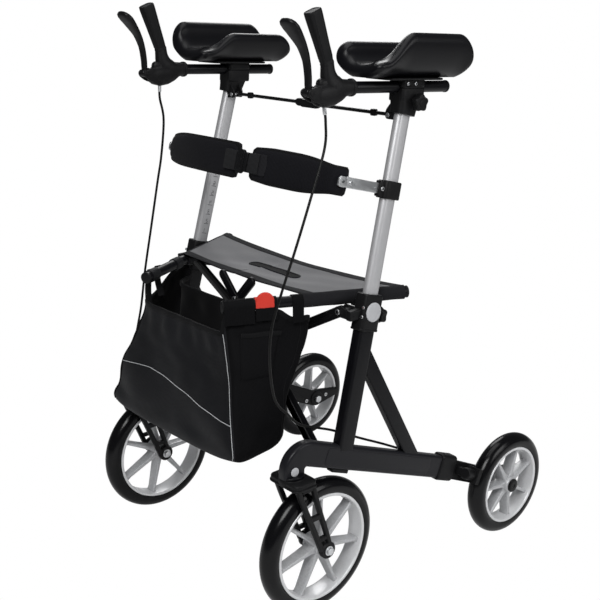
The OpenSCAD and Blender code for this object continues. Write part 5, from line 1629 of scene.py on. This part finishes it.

# %% [markdown]
# ## Back strap
# The user leans against a padded belt between the strap arms, in two halves that meet on webbing with a
# buckle. Each half is a thin bound edge round a thicker middle, both carried along the packed strap's
# middle line. One belt would tear when the frame folds, so each half rides its own mast.

# %% Back strap
STRAP_REACH, SPLIT, BOW, WRAP = 94.0, 0.12, 55, 40
LEAN_SIN, LEAN_COS = math.sin(math.radians(LEAN)), math.cos(math.radians(LEAN))
STRAP_DIR = np.array([-LEAN_SIN * math.sin(math.radians(LEAN_IN)), -LEAN_COS, LEAN_SIN])
STRAP_END = up_at(STRAP_ARM_AT) + STRAP_REACH * STRAP_DIR
STRAP_HALF = STRAP_END[0] - 2.5 - 0.6 - 8
STRAP = place((0, STRAP_END[1], STRAP_END[2]), turn(-LEAN, 0, 0))
# Width, height, x, y, low and high of the buckle's parts
BUCKLE = ((20, 46, 0, 0, 0, 6.5), (9, 36, -15, 0, 0, 5.5), (9, 36, 15, 0, 0.4, 5.5), (10, 14, 0, 0, 6, 7.4),
          (13, 5, 0, -15, 6, 7.4), (13, 5, 0, 15, 6, 7.4))


def strap_line(f):
    """Middle line: x = half sgn(f)(1 - (1 - |f|)^2.2), bowed 55 forward and wrapped 40 along the arms."""
    g = np.abs(f)
    x = STRAP_HALF * np.sign(f) * (1 - (1 - g) ** 2.2)
    return np.column_stack([x, -BOW * (1 - (x / STRAP_HALF) ** 2) - WRAP * (1 - g ** 10)])


def band(b, f0, f1, height, thick, finish, n=60, lift=0.0, tip=0.03, power=0.55):
    """A padded length of the belt from f0 to f1, rounded at its tips; height gives its height at f."""
    f = np.linspace(f0, f1, n)
    p = strap_line(f)
    t = np.gradient(p, axis=0)
    t /= np.linalg.norm(t, axis=1, keepdims=True)
    first, last = (bulge(np.clip(1 - d / tip, 0, 1)) for d in (f - f0, f1 - f))
    rows = []
    for fi, (x, y), (tx, ty), k in zip(f, p, t, np.minimum(first, last)):
        section = ring(thick / 2 * (0.35 + 0.65 * k), height(fi) / 2 * k, 40, power)
        out = section[:, 0] + lift
        rows.append(np.column_stack([x + out * ty, y - out * tx, section[:, 1]]))
    b.grid(rows, STRAP, finish=finish)


def strap_tall(f):
    """Height of the belt: both halves narrow towards their arms, the near one more suddenly."""
    if f < SPLIT:
        return mix(47, 70, ease(1.4 + 1.4 * f))
    return mix(62, 71, ease(6 * (f - SPLIT))) - 17 * ease((f - 0.42) / 0.42)


def buckle(b):
    """Webbing over the gap between the halves, and the buckle on it."""
    p = strap_line(np.linspace(SPLIT - 0.09, SPLIT + 0.1, 16))
    web = np.column_stack([p[:, 0], p[:, 1] - 12.2, np.zeros(16)])
    b.grid(sweep(web, corner_rect(2, 38, 0.8, 3)), STRAP, finish=2)
    x, y = strap_line(np.array([SPLIT]))[0]
    at = STRAP @ place((x, y - 9, 0), AHEAD)
    for w, h, u, v, low, high in BUCKLE:
        b.block(w, h, min(w, h) / 3, low, high, 0.9, moved(at, u, v, 0), 3)


def strap_half(s, name):
    """One half of the belt; the left has the fastening patch, the right the webbing and buckle."""
    b = Build()
    f0, f1 = (SPLIT + 0.022, 0.985) if s > 0 else (-0.985, SPLIT - 0.022)
    band(b, f0, f1, strap_tall, 8, 1, power=0.35)
    band(b, f0 + 0.008, f1 - 0.008, lambda f: strap_tall(f) - 8, 15.5, 0, tip=0.04, power=0.7)
    if s > 0:
        band(b, SPLIT + 0.05, SPLIT + 0.135, lambda f: 40, 2.4, 4, 16, 8.2, 0.006, 0.3)
    else:
        buckle(b)
    finishes = [KNIT, BINDING, WEBBING, PLASTIC_SMOOTH, HEM]
    obj = b.make(f"strap_look_{name}", f"{name}_mast", "strap_fabric", finishes, ["back_strap"], 60)
    s * 0.262
    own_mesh(obj)


both(strap_half)
print("back strap made, half width", round(STRAP_HALF, 1))

# %% [markdown]
# ## Pull tab
# A red plastic tab clips over the left rail, to show where to pull. It is an arc of plastic round the
# rail and an upright tongue with a round top. Both are raised outlines, since a bent sheet would need its
# thickness added afterwards.

# %% Pull tab
TAB_AT, TAB_HALF, TAB_OUT, TAB_IN = 82, 18, 14, 11.3


def tab():
    """A clip of 220 degrees round the rail and the tongue on its outer side."""
    heading = math.degrees(math.atan2(RAIL_DIR[0], RAIL_DIR[1]))
    at = place(RAIL_A, turn(rz=-heading)) @ place((0, TAB_AT, 0))
    clip = np.vstack([arc(TAB_OUT, -20, 200, 24), arc(TAB_IN, 200, -20, 24)])
    b = Build().grid(prism(clip, -TAB_HALF, TAB_HALF, 0.8), at @ place(rotation=AHEAD))
    tongue = np.vstack([(TAB_HALF, 0), arc(TAB_HALF, 0, 180, 20) + [0, 8], (-TAB_HALF, 0)])
    b.grid(prism(tongue, -2.5, 2.5, 1.4), at @ place((11.5, 0, 0), SIDE_ON))
    b.make("tab_look", "left_frame", "red_plastic", [RED], ["pull_tab"])


tab()
print("pull tab made")

# %% [markdown]
# ## Nodes that stay
# Of the packed part only the brake shoes stay in sight. They are plain rubber blocks, so they keep their
# own mesh and take the grips' rubber.

# %% Brake shoes
for s, name in SIDES:
    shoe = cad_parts[f"brake_shoe_{name}"]
    shoe.data.materials.clear()
    shoe.data.materials.append(GRIP)
print("brake shoes dressed")

# %% [markdown]
# ## Studio
# The walker stands on white, as in a catalogue. The world is a dim grey for light and plain white for the
# camera, and so is the floor, since a lit floor would turn grey at its far end.

# %% World and floor
scene = bpy.context.scene
scene.render.engine = "CYCLES"
scene.render.resolution_x = scene.render.resolution_y = 600
scene.view_settings.view_transform = "Standard"
FLOOR_HALF = 30000


def white_to_camera(graph, lit, white, output):
    """Camera rays see the shader `white`, all other rays see `lit`."""
    ray = graph.node("ShaderNodeLightPath", out="Is Camera Ray")
    seen = graph.node("ShaderNodeMixShader", {0: ray, 1: lit, 2: white})
    graph.feed(graph.nodes[output].inputs["Surface"], seen)


def studio():
    """The world's two backgrounds."""
    scene.world = bpy.data.worlds.new("studio")
    scene.world.use_nodes = True
    graph = Graph(scene.world.node_tree)
    graph.nodes.remove(graph.nodes["Background"])
    grey, white = (graph.node("ShaderNodeBackground", {"Color": colour, "Strength": strength})
                   for colour, strength in (((0.82, 0.84, 0.87, 1), 0.15), ((1, 1, 1, 1), 1.0)))
    white_to_camera(graph, grey, white, "World Output")


def floor():
    """A wide pale floor just under the wheels, seen by the camera as plain white."""
    f = Finish("floor_white", (0.8, 0.8, 0.8), 0.6)
    glow = f.node("ShaderNodeEmission", {"Color": (1, 1, 1, 1)})
    white_to_camera(f, Socket(f, f.surface.outputs[0]), glow, "Material Output")
    edge = (-FLOOR_HALF, FLOOR_HALF)
    b = Build().grid([[(x, y, -0.5) for x in edge] for y in edge], wrap=False)
    b.make("floor", None, None, [f.material])


studio()
floor()
print("studio made")

# %% [markdown]
# ## Light and camera
# Four soft square lights stand round the walker: the key in front on the left, a fill beside it, one
# behind for the edges and one above. Spot lights would draw hard rims on the black tubes. The camera
# stands where the photograph was taken.

# %% Lights and camera
def look_at(eye, target):
    """A place at eye whose local -z points to the target and whose x is level."""
    z = unit(eye - target)
    x = np.cross(UP, z)
    x = unit(x) if np.linalg.norm(x) > 1e-6 else np.array([1.0, 0, 0])
    return Matrix(place(eye, np.column_stack([x, np.cross(z, x), z])).tolist())


def light(name, at, target, size, power):
    """A square area light, aimed at a point (mm)."""
    data = bpy.data.lights.new(name, "AREA")
    data.size, data.energy = size, power
    obj = bpy.data.objects.new(name, data)
    scene.collection.objects.link(obj)
    obj.matrix_world = look_at(np.array(at) * 0.001, np.array(target) * 0.001)


light("key", (1500, -1900, 2600), (0, 0, 500), 1.4, 74)
light("fill", (2600, 900, 1600), (0, 0, 500), 1.4, 26)
light("back", (-1800, 1500, 2300), (0, 0, 600), 1.4, 30)
light("top", (0, 0, 3200), (0, 0.1, 0), 2.0, 30)

lens = bpy.data.cameras.new("photo_camera")
lens.lens, lens.sensor_width, lens.shift_y = 60.26, 36.0, 0.0023
camera = bpy.data.objects.new("photo_camera", lens)
scene.collection.objects.link(camera)
camera.matrix_world = look_at(np.array([1.5734, -1.4143, 1.1960]), np.array([0.0094, -0.0494, 0.5352]))
scene.camera = camera
print("lights and camera placed")
